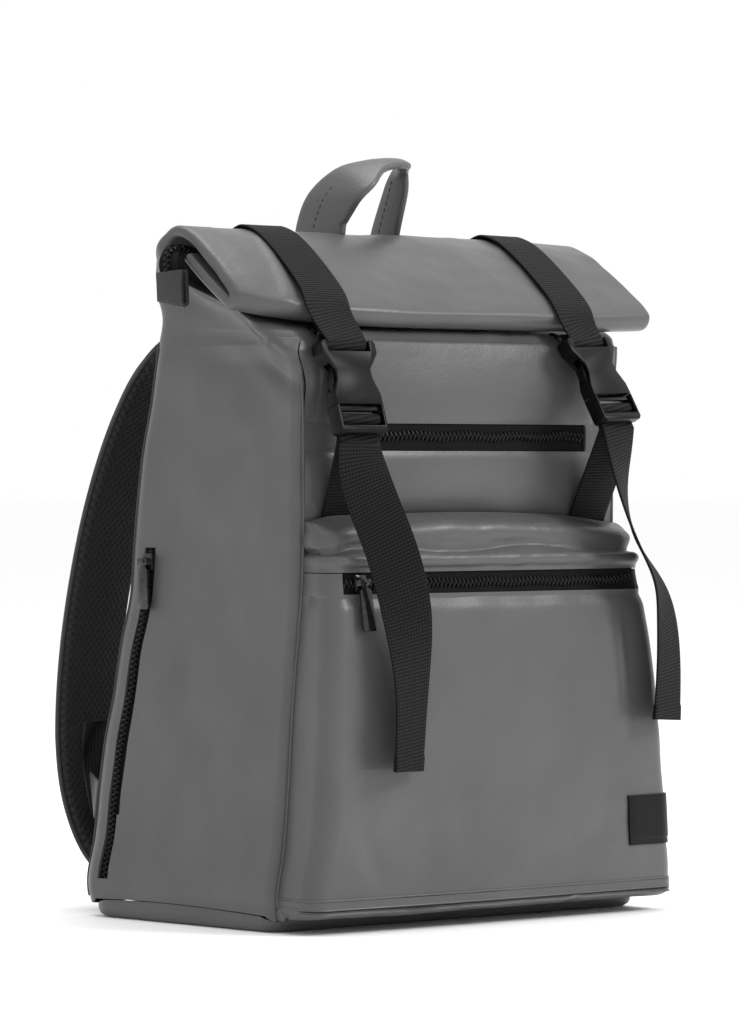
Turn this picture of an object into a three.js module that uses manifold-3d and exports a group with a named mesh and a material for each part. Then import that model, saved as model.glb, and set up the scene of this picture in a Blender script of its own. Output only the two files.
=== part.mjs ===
// A rolltop backpack in millimetres: +Z up, the front faces -Y, and the origin is under the base.
// Panels are thin sheets laid on shared surfaces, so a change of one size carries its neighbours.
import * as THREE from "three";
import Module from "manifold-3d";

const wasm = await Module();
wasm.setup();

// Driving sizes of the bag
const bodyHeight = 338; // from the floor to the mouth, where the collar starts
const seamHalfWidth = 143; // half the distance between the two front seams, low on the bag
const frontReach = 82; // the front seams lie this far in front of the origin
const backReach = 91; // the back panel lies this far behind the origin, low on the bag
const frontCorner = 5.5; // radius of the side panel where it wraps onto the front
const backCorner = 14; // radius of the bag's back corners
const leather = 2; // thickness of the body panels
const seamGap = 0.5; // space between two sewn edges
const restGap = 0.3; // space between a piece and what it lies on
const rollGap = 1; // space under what lies on the collar's bends
const tapeGap = 0.6; // space between a panel and the zip tape behind it
const sliderGap = 0.6; // space between a zip's chain and its slider
const frontSwell = 8; // how far the upper front bulges
const hemHeight = 9; // the base panel turns up this far
const hemWave = 2.5; // the turned-up edge rises and falls by this much
const baseRound = 6; // radius of the lower edge

// Driving sizes of the collar and its roll
const collarWall = 1.6;
const rollRise = 62.5; // from the mouth to the middle line of the ridge
const rollReach = 84.5; // from the origin forward to the middle line of the lip
const rollHalfWidth = 158;
const rollHalfThick = 3.5; // half the thickness of the flattened collar
const leftLipPull = 26; // the lip's left end is drawn back this far
const rightLipPull = 5;
const endLift = 0.4; // the ends rise by this share of their pull
const ridgeDroop = 2.5; // the ridge's right end hangs this far lower

// Driving sizes of the zips
const tapeThick = 1;
const chainWidth = 5;
const chainRise = 1.6; // the chain stands this far above its tape
const upperZipFloor = 275;
const upperZipTop = 291;
const upperZipLeft = -93;
const upperZipRight = 99;
const sideZipFloor = 22;
const sideZipTop = 218;
const sideZipWidth = 10;
const sideZipSetback = 4; // from the back corner's round to the zip's slot

// Driving sizes of the front pocket
const pocketTop = 238;
const pocketDepth = 36;
const pocketCorner = 12;
const pocketSwell = 2.5; // the pocket's sides stand this far past the seams
const pocketCrown = 3; // the middle of the pocket stands this far past its corners
const pocketLeather = 1.8;
const pocketZipLeft = -116;
const pocketZipRight = 124;
const pullSeat = -106; // where the pocket's slider stands, across the bag

// Driving sizes of the webbing and buckles
const webbingWidth = 30;
const webbingThick = 1.6;
const buckleWidth = 41;
const buckleThick = 9.5;
const buckleBar = 3.5; // thickness of the bars that the webbing wraps
const socketFloor = 17.3; // heights along the buckle, from its lower end
const socketTop = 49;
const plugTop = 17;
const lowerBarTop = 4.5;

// Driving sizes of the shoulder straps and the handle
const strapWidth = 58;
const strapThick = 12;
const strapSpread = 100; // the middle line stands this far across, half way down
const strapBow = 95; // how far the middle line bows out behind the back's top
const strapRise = 342; // height of its upper end
const strapTurn = 13.5; // degrees that its outer edge is turned towards the bag
const lowerWebbingWidth = 25;
const handleThick = 6;
const handleSpread = 30; // each leg stands this far from the middle
const handleReach = 40; // the widest part of the handle, from front to back
const handleRise = 111; // from the mouth to the top of the handle

// Driving sizes of the trims
const labelFloor = 44;
const labelTall = 27;
const labelLeft = 103;
const labelThick = 1.5;
const studRadius = 5;
const studTall = 2.6;
const studRow = 0.5; // row of the collar's table where the studs sit
const tabSeamTop = 79; // the leather tab's place on the back corner's seam
const tabSeamFloor = 57;
const pullLong = 28;
const pullTop = 8; // the pull's width below its eye and at its foot
const pullFoot = 10;
const pullThick = 1.8;
const pinRadius = 0.9;
const pinSetback = 5; // from the pin to the back of the slider
const eyeWall = 1;
const sliderWide = 8.4;
const sliderTall = 9.6;
const sliderDeep = 2.4;
const mainTapeWidth = 19;
const tabWide = 22;
const tabTall = 18.5;
const tabThick = 1.8;

// Shares of the body height, of seamHalfWidth and of backReach
const BODY_SECTIONS = [
  { height: 0.0, width: 0.986, back: 0.97 },
  { height: 0.06, width: 1.0, back: 1.0 },
  { height: 0.14, width: 0.965, back: 0.997 },
  { height: 0.225, width: 0.945, back: 0.986 },
  { height: 0.31, width: 0.93, back: 0.953 },
  { height: 0.39, width: 0.916, back: 0.89 },
  { height: 0.476, width: 0.895, back: 0.86 },
  { height: 0.56, width: 0.874, back: 0.8 },
  { height: 0.645, width: 0.864, back: 0.785 },
  { height: 0.73, width: 0.864, back: 0.745 },
  { height: 0.816, width: 0.864, back: 0.69 },
  { height: 0.9, width: 0.867, back: 0.6 },
  { height: 1.0, width: 0.885, back: 0.5 },
];

// Shares of pocketTop and pocketDepth, from the back of its floor up its front to its top edge
const POCKET_SECTIONS = [
  { height: 0.055, depth: 0.1 },
  { height: 0.037, depth: 0.45 },
  { height: 0.04, depth: 0.75 },
  { height: 0.058, depth: 0.9 },
  { height: 0.083, depth: 0.92 },
  { height: 0.27, depth: 1.0 },
  { height: 0.525, depth: 0.97 },
  { height: 0.655, depth: 0.92 },
  { height: 0.78, depth: 0.82 },
  { height: 0.811, depth: 0.76 },
  { height: 0.861, depth: 0.7 },
  { height: 0.897, depth: 0.74 },
  { height: 0.928, depth: 0.6 },
  { height: 0.97, depth: 0.5 },
  { height: 1.0, depth: 0.12 },
];
const POCKET_SEAM = 4; // rows of that table at the floor's seam, the zip's two edges and the top
const POCKET_ZIP_FLOOR = 9;
const POCKET_ZIP_TOP = 10;
const POCKET_END = 14;

// Shares of rollReach forward, of rollRise up, of the mouth's half depth and of the width gained
// from the mouth to the roll. Tilt is the outward direction in degrees from straight back.
const COLLAR_SECTIONS = [
  { forward: 0, up: 0, thick: 1, gain: 0, tilt: 0 },
  { forward: 0.05, up: 0.18, thick: 0.85, gain: 0.05, tilt: 3 },
  { forward: -0.01, up: 0.38, thick: 0.6, gain: 0.25, tilt: 6 },
  { forward: -0.09, up: 0.568, thick: 0.35, gain: 0.58, tilt: 14 },
  { forward: -0.118, up: 0.72, thick: 0.155, gain: 0.85, tilt: 31 },
  { forward: -0.077, up: 0.864, thick: 0.03, gain: 1, tilt: 50 },
  { forward: 0.012, up: 0.968, thick: 0, gain: 1, tilt: 70 },
  { forward: 0.142, up: 1.0, thick: 0, gain: 1, tilt: 95 },
  { forward: 0.331, up: 0.92, thick: 0, gain: 1, tilt: 115 },
  { forward: 0.533, up: 0.752, thick: 0, gain: 1, tilt: 126 },
  { forward: 0.734, up: 0.552, thick: 0, gain: 1, tilt: 127 },
  { forward: 0.899, up: 0.376, thick: 0, gain: 1, tilt: 132 },
  { forward: 0.9645, up: 0.298, thick: 0, gain: 1, tilt: 150 },
  { forward: 0.995, up: 0.265, thick: 0, gain: 1, tilt: 180 },
  { forward: 0.975, up: 0.206, thick: 0, gain: 1, tilt: 235 },
  { forward: 0.941, up: 0.192, thick: 0, gain: 1, tilt: 270 },
  { forward: 0.9, up: 0.206, thick: 0, gain: 1, tilt: 297 },
  { forward: 0.71, up: 0.36, thick: 0, gain: 1, tilt: 302 },
  { forward: 0.497, up: 0.544, thick: 0, gain: 1, tilt: 303 },
  { forward: 0.308, up: 0.72, thick: 0, gain: 1, tilt: 303 },
];
const COLLAR_END = COLLAR_SECTIONS.length - 1;
// Rows of that table where the upper straps are shaped, from the ridge's back to the lip
const STRAP_STATIONS = [4.5, 5, 5.5, 6, 7, 8, 9, 10, 11, 12, 12.5, 13];

// Small helpers
const vec = (x, y, z) => new THREE.Vector3(x, y, z);
const mix = (a, b, share) => a + (b - a) * share;
const clamp = (value, low, high) => Math.min(Math.max(value, low), high);
const quarter = Math.PI / 2;
const degrees = Math.PI / 180;

// A value read from a table along a smooth curve through its rows
function smoothRow(table, place, column) {
  const last = table.length - 1;
  const at = clamp(place, 0, last);
  const row = Math.min(Math.floor(at), last - 1);
  const share = at - row;
  const [before, from, to, after] = [-1, 0, 1, 2].map(
    (step) => table[clamp(row + step, 0, last)][column],
  );
  const slopeIn = (to - before) / 2;
  const slopeOut = (after - from) / 2;
  const bend = 3 * (to - from) - 2 * slopeIn - slopeOut;
  const settle = 2 * (from - to) + slopeIn + slopeOut;
  return from + share * (slopeIn + share * (bend + share * settle));
}

// The row, with its fraction, whose height share matches
function rowAtHeight(table, share) {
  const last = table.length - 1;
  const row = table.findIndex((entry, n) => n === last || table[n + 1].height >= share);
  const from = table[Math.min(row, last - 1)].height;
  const to = table[Math.min(row, last - 1) + 1].height;
  return Math.min(row, last - 1) + clamp((share - from) / (to - from), 0, 1);
}

// Evenly spaced values from one to the other
function spread(from, to, steps) {
  return Array.from({ length: steps + 1 }, (unused, n) => mix(from, to, n / steps));
}

// A closed geometry from vertices and triangles, turned to face outwards
function closedGeometry(vertices, faces) {
  let volume = 0;
  for (const [a, b, c] of faces) {
    volume += vertices[a].dot(vec(0, 0, 0).crossVectors(vertices[b], vertices[c]));
  }
  const turned = volume < 0 ? faces.map(([a, b, c]) => [a, c, b]) : faces;
  const geometry = new THREE.BufferGeometry();
  const places = new Float32Array(vertices.flatMap((point) => point.toArray()));
  geometry.setAttribute("position", new THREE.BufferAttribute(places, 3));
  geometry.setIndex(turned.flat());
  return geometry;
}

// A sheet between two grids of points: grid[column][row], open at its four edges or round in itself
function sheetBetween(near, far, isRound) {
  const columns = near.length;
  const rows = near[0].length;
  const vertices = [...near.flat(), ...far.flat()];
  const nearAt = (column, row) => (column % columns) * rows + row;
  const farAt = (column, row) => columns * rows + nearAt(column, row);
  const faces = [];
  const quad = (a, b, c, d) => faces.push([a, b, c], [a, c, d]);
  const spans = isRound ? columns : columns - 1;
  for (let i = 0; i < spans; i += 1) {
    for (let j = 0; j < rows - 1; j += 1) {
      quad(nearAt(i, j), nearAt(i + 1, j), nearAt(i + 1, j + 1), nearAt(i, j + 1));
      quad(farAt(i, j), farAt(i, j + 1), farAt(i + 1, j + 1), farAt(i + 1, j));
    }
    quad(nearAt(i, 0), farAt(i, 0), farAt(i + 1, 0), nearAt(i + 1, 0));
    quad(nearAt(i, rows - 1), nearAt(i + 1, rows - 1), farAt(i + 1, rows - 1), farAt(i, rows - 1));
  }
  if (!isRound) {
    for (let j = 0; j < rows - 1; j += 1) {
      quad(nearAt(0, j), nearAt(0, j + 1), farAt(0, j + 1), farAt(0, j));
      const end = columns - 1;
      quad(nearAt(end, j), farAt(end, j), farAt(end, j + 1), nearAt(end, j + 1));
    }
  }
  return closedGeometry(vertices, faces);
}

// A sheet that follows surface(u, v), from one distance off the surface to another
function sheetOn(surface, us, vs, nearLift, farLift) {
  const step = 0.01;
  const lifted = (u, v, lift) => {
    const along = surface(u + step, v).sub(surface(u - step, v));
    const up = surface(u, v + step).sub(surface(u, v - step));
    const normal = along.cross(up).normalize();
    return surface(u, v).addScaledVector(normal, lift);
  };
  const grid = (lift) => us.map((u) => vs.map((v) => lifted(u, v, lift)));
  return sheetBetween(grid(nearLift), grid(farLift), false);
}

// A solid through rings of points, each with as many points, closed by a flat cap at both ends
function loft(rings) {
  const count = rings[0].length;
  const vertices = rings.flat();
  const faces = [];
  for (let r = 0; r < rings.length - 1; r += 1) {
    for (let k = 0; k < count; k += 1) {
      const next = (k + 1) % count;
      const [a, b] = [r * count + k, r * count + next];
      faces.push([a, b, b + count], [a, b + count, a + count]);
    }
  }
  const lastRing = (rings.length - 1) * count;
  for (let k = 1; k < count - 1; k += 1) {
    faces.push([0, k + 1, k], [lastRing, lastRing + k, lastRing + k + 1]);
  }
  return closedGeometry(vertices, faces);
}

// Webbing or a padded strap along a path. Each row of the path holds a point and the direction of
// the width, and the section is square-cornered, or rounded if edge is given. A slanted one keeps
// the width's direction as it is, also where that isn't square to the path.
function ribbon(path, width, thick, edge = 0, slanted = false) {
  const rings = path.map(({ point, across, wide = width }, n) => {
    const before = path[Math.max(n - 1, 0)].point;
    const after = path[Math.min(n + 1, path.length - 1)].point;
    const along = after.clone().sub(before).normalize();
    const off = slanted ? 0 : across.dot(along);
    const side = across.clone().addScaledVector(along, -off).normalize();
    const face = along.clone().cross(side).normalize();
    const corner = (u, v) => point.clone().addScaledVector(side, u).addScaledVector(face, v);
    const [w, t] = [wide / 2, thick / 2];
    if (edge === 0) return [corner(w, t), corner(-w, t), corner(-w, -t), corner(w, -t)];
    return [
      corner(w, t - edge),
      corner(w - edge, t),
      corner(edge - w, t),
      corner(-w, t - edge),
      corner(-w, edge - t),
      corner(edge - w, -t),
      corner(w - edge, -t),
      corner(w, edge - t),
    ];
  });
  return loft(rings);
}

// The path through a few chosen points, rounded off, with the width's direction carried along
function smoothPath(points, acrosses, steps, widths = null) {
  const line = new THREE.CatmullRomCurve3(points, false, "centripetal");
  return spread(0, 1, steps).map((share) => {
    const place = share * (points.length - 1);
    const row = Math.min(Math.floor(place), points.length - 2);
    const across = acrosses[row].clone().lerp(acrosses[row + 1], place - row);
    const wide = widths ? mix(widths[row], widths[row + 1], place - row) : undefined;
    return { point: line.getPoint(share), across, wide };
  });
}

// Booleans on closed geometries
function toSolid(geometry) {
  return new wasm.Manifold(
    new wasm.Mesh({
      numProp: 3,
      vertProperties: new Float32Array(geometry.getAttribute("position").array),
      triVerts: new Uint32Array(geometry.getIndex().array),
    }),
  );
}

function toGeometry(solid) {
  const mesh = solid.getMesh();
  const geometry = new THREE.BufferGeometry();
  geometry.setAttribute("position", new THREE.BufferAttribute(mesh.vertProperties, 3));
  geometry.setIndex(new THREE.BufferAttribute(mesh.triVerts, 1));
  return geometry;
}

function joined(...geometries) {
  return toGeometry(geometries.map(toSolid).reduce((whole, piece) => whole.add(piece)));
}

function cut(geometry, ...cutters) {
  const whole = toSolid(geometry);
  return toGeometry(cutters.map(toSolid).reduce((left, cutter) => left.subtract(cutter), whole));
}

// A box as eight corners, from its least to its greatest corner
function block(low, high) {
  const ring = (z) => [
    vec(low.x, low.y, z),
    vec(high.x, low.y, z),
    vec(high.x, high.y, z),
    vec(low.x, high.y, z),
  ];
  return loft([ring(low.z), ring(high.z)]);
}

// A plan outline raised along the second axis: points are [across, along], and depth runs low to high
function plate(points, low, high) {
  const shape = new THREE.Shape(points.map(([x, z]) => new THREE.Vector2(x, z)));
  const raised = new THREE.ExtrudeGeometry(shape, {
    depth: high - low,
    bevelEnabled: false,
    curveSegments: 1,
  });
  raised.applyMatrix4(new THREE.Matrix4().makeBasis(vec(1, 0, 0), vec(0, 0, 1), vec(0, -1, 0)));
  raised.translate(0, high, 0);
  return mergedGeometry(raised);
}

// The same geometry with shared corners merged, so that it can be joined and cut
function mergedGeometry(geometry) {
  const source = geometry.index ? geometry.toNonIndexed() : geometry;
  const places = source.getAttribute("position");
  const seen = new Map();
  const vertices = [];
  const order = [];
  for (let n = 0; n < places.count; n += 1) {
    const point = vec(places.getX(n), places.getY(n), places.getZ(n));
    const key = point.toArray().map((value) => Math.round(value * 1e4)).join(" ");
    if (!seen.has(key)) {
      seen.set(key, vertices.length);
      vertices.push(point);
    }
    order.push(seen.get(key));
  }
  const faces = [];
  for (let n = 0; n < order.length; n += 3) {
    const [a, b, c] = order.slice(n, n + 3);
    if (a !== b && b !== c && a !== c) faces.push([a, b, c]);
  }
  return closedGeometry(vertices, faces);
}

// A point of a rounded rectangle. Stations run 0 at the middle of the front, 1 and 2 at the ends of
// the front corner, 3 and 4 at those of the back corner, 5 at the middle of the back, negative left.
function roundedPoint(station, half, front, back, frontRound, backRound) {
  const side = station < 0 ? -1 : 1;
  const at = Math.min(Math.abs(station), 5);
  const turn = (at % 1) * quarter;
  if (at <= 1) return [side * (half - frontRound) * at, front];
  if (at < 2) {
    const x = half - frontRound + frontRound * Math.sin(turn);
    return [side * x, front + frontRound * (1 - Math.cos(turn))];
  }
  if (at < 3) return [side * half, mix(front + frontRound, back - backRound, at - 2)];
  if (at < 4) {
    const x = half - backRound * (1 - Math.cos(turn));
    return [side * x, back - backRound * (1 - Math.sin(turn))];
  }
  return [side * (half - backRound) * (5 - at), back];
}

// The body's half width to its sides and its back at a height
function bodySection(z) {
  const row = rowAtHeight(BODY_SECTIONS, z / bodyHeight);
  return {
    half: seamHalfWidth * smoothRow(BODY_SECTIONS, row, "width") + frontCorner,
    back: backReach * smoothRow(BODY_SECTIONS, row, "back"),
  };
}

// The bag's outside, by station and height
function bodySurface(station, z) {
  const { half, back } = bodySection(z);
  const [x, y] = roundedPoint(station, half, -frontReach, back, frontCorner, backCorner);
  const above = clamp((z - pocketTop) / (bodyHeight - pocketTop), 0, 1);
  const middle = Math.max(0, 1 - Math.abs(station)) * (1 + Math.abs(station));
  const swell = frontSwell * middle * Math.sin(Math.PI * above);
  return vec(x, y - swell, z);
}

// The height of the base panel's turned-up edge
function hemTop(station) {
  return hemHeight + hemWave * Math.cos(2.4 * station);
}

// A panel of the body from the base's edge to the mouth, with rows at shares of that height
function bodyPanel(stations, rows) {
  const top = bodyHeight - seamGap / 2;
  const surface = (station, share) => {
    const floor = hemTop(station) + seamGap;
    return bodySurface(station, mix(floor, top, share));
  };
  return sheetOn(surface, stations, rows, -leather, 0);
}

// A sheet on the bag's outside between two heights
function bodyPatch(stations, heights, nearLift, farLift) {
  return sheetOn(bodySurface, stations, heights, nearLift, farLift);
}

const sideSeam = 3.5; // station of the seam between the side and back panels
const sideGapShare = seamGap / (backCorner * quarter);
const frontGapShare = seamGap / (frontCorner * quarter);

// Base panel: a tray with a flat floor, rounded lower edge and turned-up rim
function makeBase() {
  const stations = [
    ...[-5, -4, -3.67, -3.33, -3, -2.5, -2, -1.5, -1, -0.5],
    ...[0, 0.5, 1, 1.5, 2, 2.5, 3, 3.33, 3.67, 4],
  ];
  const ring = (inset, share, floor) =>
    stations.map((station) => {
      const { half, back } = bodySection(0);
      const [front, rear] = [-frontReach + inset, back - inset];
      const rounds = [frontCorner + baseRound, backCorner + baseRound];
      const [x, y] = roundedPoint(station, half - inset, front, rear, rounds[0], rounds[1]);
      return vec(x, y, Math.max(floor, share * hemTop(station)));
    });
  const lean = baseRound / 3;
  return loft([
    ring(baseRound, 0, 0),
    ring(lean, 0, baseRound / 5),
    ring(0, 0, baseRound * 0.7),
    ring(0, 1, 0),
    ring(leather, 1, 0),
    ring(leather, 0, baseRound * 0.7 + leather / 2),
    ring(baseRound + leather, 0, leather),
  ]);
}

// Front panel with the slot of the upper zip
function upperZipPatch(inset, low, high, nearLift, farLift) {
  const half = bodySection(upperZipFloor).half - frontCorner;
  const stations = spread((upperZipLeft + inset) / half, (upperZipRight - inset) / half, 8);
  return bodyPatch(stations, [low, mix(low, high, 0.5), high], nearLift, farLift);
}

function makeFront() {
  const edge = 1 - seamGap / seamHalfWidth;
  const pocketShare = (pocketTop - hemHeight) / (bodyHeight - hemHeight);
  const rows = [...spread(0, pocketShare, 4), ...spread(pocketShare, 1, 11).slice(1)];
  const panel = bodyPanel(spread(-edge, edge, 8), rows);
  const slot = upperZipPatch(0, upperZipFloor, upperZipTop, -leather - 2, 2);
  return cut(panel, slot);
}

function makeUpperZip() {
  const tapeTop = -leather - tapeGap;
  const overlap = chainWidth;
  const low = upperZipFloor - overlap;
  const high = upperZipTop + overlap;
  const tape = upperZipPatch(-overlap, low, high, tapeTop - tapeThick, tapeTop);
  const middle = mix(upperZipFloor, upperZipTop, 0.55);
  const [chainLow, chainHigh] = [middle - chainWidth / 2, middle + chainWidth / 2];
  const chain = upperZipPatch(1, chainLow, chainHigh, tapeTop - tapeThick / 2, tapeTop + chainRise);
  return joined(tape, chain);
}

// Side panels, the left one with the slot of the side zip
const sideStations = [1 + frontGapShare, 1.33, 1.67, 2, 2.25, 2.5, 2.75, 3, 3.25, sideSeam - sideGapShare];

function sideZipPatch(widen, low, high, nearLift, farLift) {
  const surface = (setback, z) => {
    const straight = frontReach + bodySection(z).back - frontCorner - backCorner;
    return bodySurface(setback / straight - 3, z);
  };
  const rear = sideZipSetback - widen;
  const front = sideZipSetback + sideZipWidth + widen;
  const heights = spread(0, 1, 11).map((share) => mix(low, high, share ** 1.5));
  return sheetOn(surface, [rear, (rear + front) / 2, front], heights, nearLift, farLift);
}

function makeSide(side) {
  const stations = sideStations.map((station) => side * station);
  const ordered = side < 0 ? stations.reverse() : stations;
  const panel = bodyPanel(ordered, spread(0, 1, 13).map((share) => share ** 1.5));
  if (side > 0) return panel;
  return cut(panel, sideZipPatch(0, sideZipFloor, sideZipTop, -leather - 2, 2));
}

function makeSideZip() {
  const tapeTop = -leather - tapeGap;
  const widen = 3;
  const [low, high] = [sideZipFloor - widen, sideZipTop + widen];
  const tape = sideZipPatch(widen, low, high, tapeTop - tapeThick, tapeTop);
  const inset = (chainWidth - sideZipWidth) / 2;
  const [chainLow, chainHigh] = [sideZipFloor + 1, sideZipTop - 1];
  const chain = sideZipPatch(inset, chainLow, chainHigh, tapeTop - tapeThick / 2, tapeTop + chainRise);
  return joined(tape, chain);
}

// Back panel, round both back corners up to the side seams
function makeBack() {
  const right = [sideSeam + sideGapShare, 3.75, 4, 4.5];
  const left = right.map((station) => -station).reverse();
  const unfold = (station) => (station < 0 ? 10 + station : station);
  const stations = [...right, 5, ...left.map(unfold)];
  const top = bodyHeight - seamGap / 2;
  const surface = (at, share) => {
    const station = at > 5 ? at - 10 : at;
    return bodySurface(station, mix(hemTop(station) + seamGap, top, share));
  };
  return sheetOn(surface, stations, spread(0, 1, 12), -leather, 0);
}

// The pocket's outside, by station and row of its table. Stations run 0 at the middle, 1 and 2 at
// the ends of the corner and 3 at the bag's seam.
function pocketSurface(station, row) {
  const z = pocketTop * smoothRow(POCKET_SECTIONS, row, "height");
  const depth = pocketDepth * smoothRow(POCKET_SECTIONS, row, "depth");
  const seam = bodySection(z).half - frontCorner;
  const swell = pocketSwell * Math.min(1, depth / pocketDepth);
  const round = Math.min(pocketCorner, depth * 0.55);
  const foot = -frontReach - restGap;
  const side = station < 0 ? -1 : 1;
  const at = Math.abs(station);
  const reach = seam + swell;
  if (at <= 1) {
    const crown = pocketCrown * (depth / pocketDepth) * (1 - at * at);
    return vec(side * (reach - round) * at, foot - depth - crown, z);
  }
  if (at < 2) {
    const turn = (at - 1) * quarter;
    const x = reach - round + round * Math.sin(turn);
    return vec(side * x, foot - depth + round * (1 - Math.cos(turn)), z);
  }
  const share = at - 2;
  return vec(side * mix(reach, seam, share), mix(foot - depth + round, foot, share), z);
}

const pocketStations = [-3, -2.5, -2, -1.67, -1.33, -1, -0.67, -0.33, 0];
const allPocketStations = [...pocketStations, ...pocketStations.slice(0, -1).reverse().map((s) => -s)];

function pocketRow(z) {
  return rowAtHeight(POCKET_SECTIONS.map((entry, n) => (n < 3 ? { height: 0 } : entry)), z / pocketTop);
}

function pocketZipStation(x) {
  const z = pocketTop * POCKET_SECTIONS[POCKET_ZIP_FLOOR].height;
  const depth = pocketDepth * POCKET_SECTIONS[POCKET_ZIP_FLOOR].depth;
  const flat = bodySection(z).half - frontCorner + pocketSwell - Math.min(pocketCorner, depth * 0.55);
  return Math.abs(x) <= flat ? x / flat : Math.sign(x) * (1 + (Math.abs(x) - flat) / (pocketCorner * quarter));
}

function pocketZipPatch(left, right, from, to, nearLift, farLift) {
  const inner = allPocketStations.filter((station) => station > left + 0.1 && station < right - 0.1);
  const rows = [from, ...[9, 9.5, 10].filter((row) => row > from && row < to), to];
  return sheetOn(pocketSurface, [left, ...inner, right], rows, nearLift, farLift);
}

const pocketZipStart = pocketZipStation(pocketZipLeft);
const pocketZipFinish = pocketZipStation(pocketZipRight);
const rowGap = seamGap / (pocketTop * 0.05);

function makePocketFront() {
  const floor = POCKET_SEAM + rowGap / 2;
  const rows = [floor, 4.4, 5, 5.6, 6.3, 7, 8, 8.5, POCKET_ZIP_FLOOR, 9.5, POCKET_ZIP_TOP];
  const panel = sheetOn(pocketSurface, allPocketStations, rows, -pocketLeather, 0);
  const [from, to] = [POCKET_ZIP_FLOOR, POCKET_ZIP_TOP + 0.2];
  const slot = pocketZipPatch(pocketZipStart, pocketZipFinish, from, to, -pocketLeather - 2, 2);
  return cut(panel, slot);
}

function makePocketFloor() {
  const rows = [0, 1, 1.5, 2, 2.5, 3, 3.5, POCKET_SEAM - rowGap / 2];
  return sheetOn(pocketSurface, allPocketStations, rows, -pocketLeather, 0);
}

function makePocketHood() {
  const rows = [POCKET_ZIP_TOP + rowGap, 10.5, 11, 11.5, 12, 12.5, 13, 13.5, POCKET_END];
  return sheetOn(pocketSurface, allPocketStations, rows, -pocketLeather, 0);
}

function makePocketZip() {
  const tapeTop = -pocketLeather - tapeGap;
  const [from, to] = [POCKET_ZIP_FLOOR - 0.3, POCKET_ZIP_TOP + 0.3];
  const [left, right] = [pocketZipStart - 0.05, pocketZipFinish + 0.2];
  const tape = pocketZipPatch(left, right, from, to, tapeTop - tapeThick, tapeTop);
  const [chainLow, chainHigh] = [POCKET_ZIP_FLOOR + 0.28, POCKET_ZIP_FLOOR + 0.72];
  const ends = [pocketZipStart + 0.01, pocketZipFinish - 0.1];
  const lifts = [tapeTop - tapeThick / 2, tapeTop + chainRise];
  return joined(tape, pocketZipPatch(ends[0], ends[1], chainLow, chainHigh, lifts[0], lifts[1]));
}

// Label: a bare patch on the pocket's lower right, round the corner
function makeLabel() {
  const rows = [pocketRow(labelFloor), pocketRow(labelFloor + labelTall / 2), pocketRow(labelFloor + labelTall)];
  const depth = pocketDepth * smoothRow(POCKET_SECTIONS, rows[1], "depth");
  const reach = bodySection(labelFloor).half - frontCorner + pocketSwell;
  const flat = reach - Math.min(pocketCorner, depth * 0.55);
  const stations = [labelLeft / flat, mix(labelLeft / flat, 1, 0.5), 1, 1.33, 1.67, 2];
  return sheetOn(pocketSurface, stations, rows, seamGap, seamGap + labelThick);
}

// The collar's section at a row of its table
function collarSection(row) {
  const { half, back } = bodySection(bodyHeight);
  const mouthMiddle = (back - frontReach) / 2;
  const mouthHalf = (back + frontReach) / 2;
  const forward = smoothRow(COLLAR_SECTIONS, row, "forward");
  const rising = clamp(row / 2, 0, 1);
  const tilt = degrees * smoothRow(COLLAR_SECTIONS, row, "tilt");
  return {
    middle: mix(mouthMiddle, 0, rising) - rollReach * forward,
    height: bodyHeight + seamGap / 2 + rollRise * smoothRow(COLLAR_SECTIONS, row, "up"),
    thick: mix(rollHalfThick, mouthHalf, Math.max(0, smoothRow(COLLAR_SECTIONS, row, "thick"))),
    half: mix(half, rollHalfWidth, smoothRow(COLLAR_SECTIONS, row, "gain")),
    outward: vec(0, Math.cos(tilt), Math.sin(tilt)),
  };
}

// How an end of the roll is drawn back and hangs, by distance across and row
function endShift(x, row) {
  const out = Math.min(1, Math.abs(x) / rollHalfWidth);
  const forward = clamp(smoothRow(COLLAR_SECTIONS, row, "forward"), 0, 1) * clamp(row - 5, 0, 1);
  const pull = (x < 0 ? leftLipPull : rightLipPull) * out ** 4 * forward;
  const ridge = clamp((row - 3) / 3, 0, 1) * clamp((12 - row) / 4, 0, 1);
  const droop = x > 0 ? ridgeDroop * out ** 3 * ridge : 0;
  return vec(0, pull, endLift * pull - droop);
}

// A point of the collar: station round its flattened tube, row along it, inset from its outside
function collarPoint(station, row, inset) {
  const { middle, height, thick, half, outward } = collarSection(row);
  const depth = thick - inset;
  const rounds = [Math.min(frontCorner * 1.5, thick), Math.min(backCorner, thick)];
  const [frontRound, backRound] = rounds.map((round) => Math.max(round - inset, 0.3));
  const [x, y] = roundedPoint(station, half - inset, -depth, depth, frontRound, backRound);
  return vec(x, middle, height).addScaledVector(outward, y).add(endShift(x, row));
}

// A point on the outer side of the collar at a distance across, lifted off it
function rollPoint(x, row, lift) {
  const { middle, height, thick, outward } = collarSection(row);
  return vec(x, middle, height).addScaledVector(outward, thick + lift).add(endShift(x, row));
}

function makeCollar() {
  const right = [0, 0.5, 0.8, 1, 1.5, 2, 3, 3.5, 4, 4.1, 4.25, 4.45, 4.7];
  const left = right.slice(1).map((station) => -station).reverse();
  const stations = [...right, 5, ...left];
  const rows = [
    ...[0, 0.5, 1, 2, 3, 4, 4.5, 5, 5.5, 6, 7, 8, 9, 10],
    ...[11, 12, 12.5, 13, 14, 15, 16, 17, 18, COLLAR_END],
  ];
  const grid = (inset) => stations.map((station) => rows.map((row) => collarPoint(station, row, inset)));
  return sheetBetween(grid(0), grid(collarWall), true);
}

// Main zip in the roll's open end, with its tail bent down to the end tab
const zipTailReach = rollHalfWidth + 6;

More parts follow.
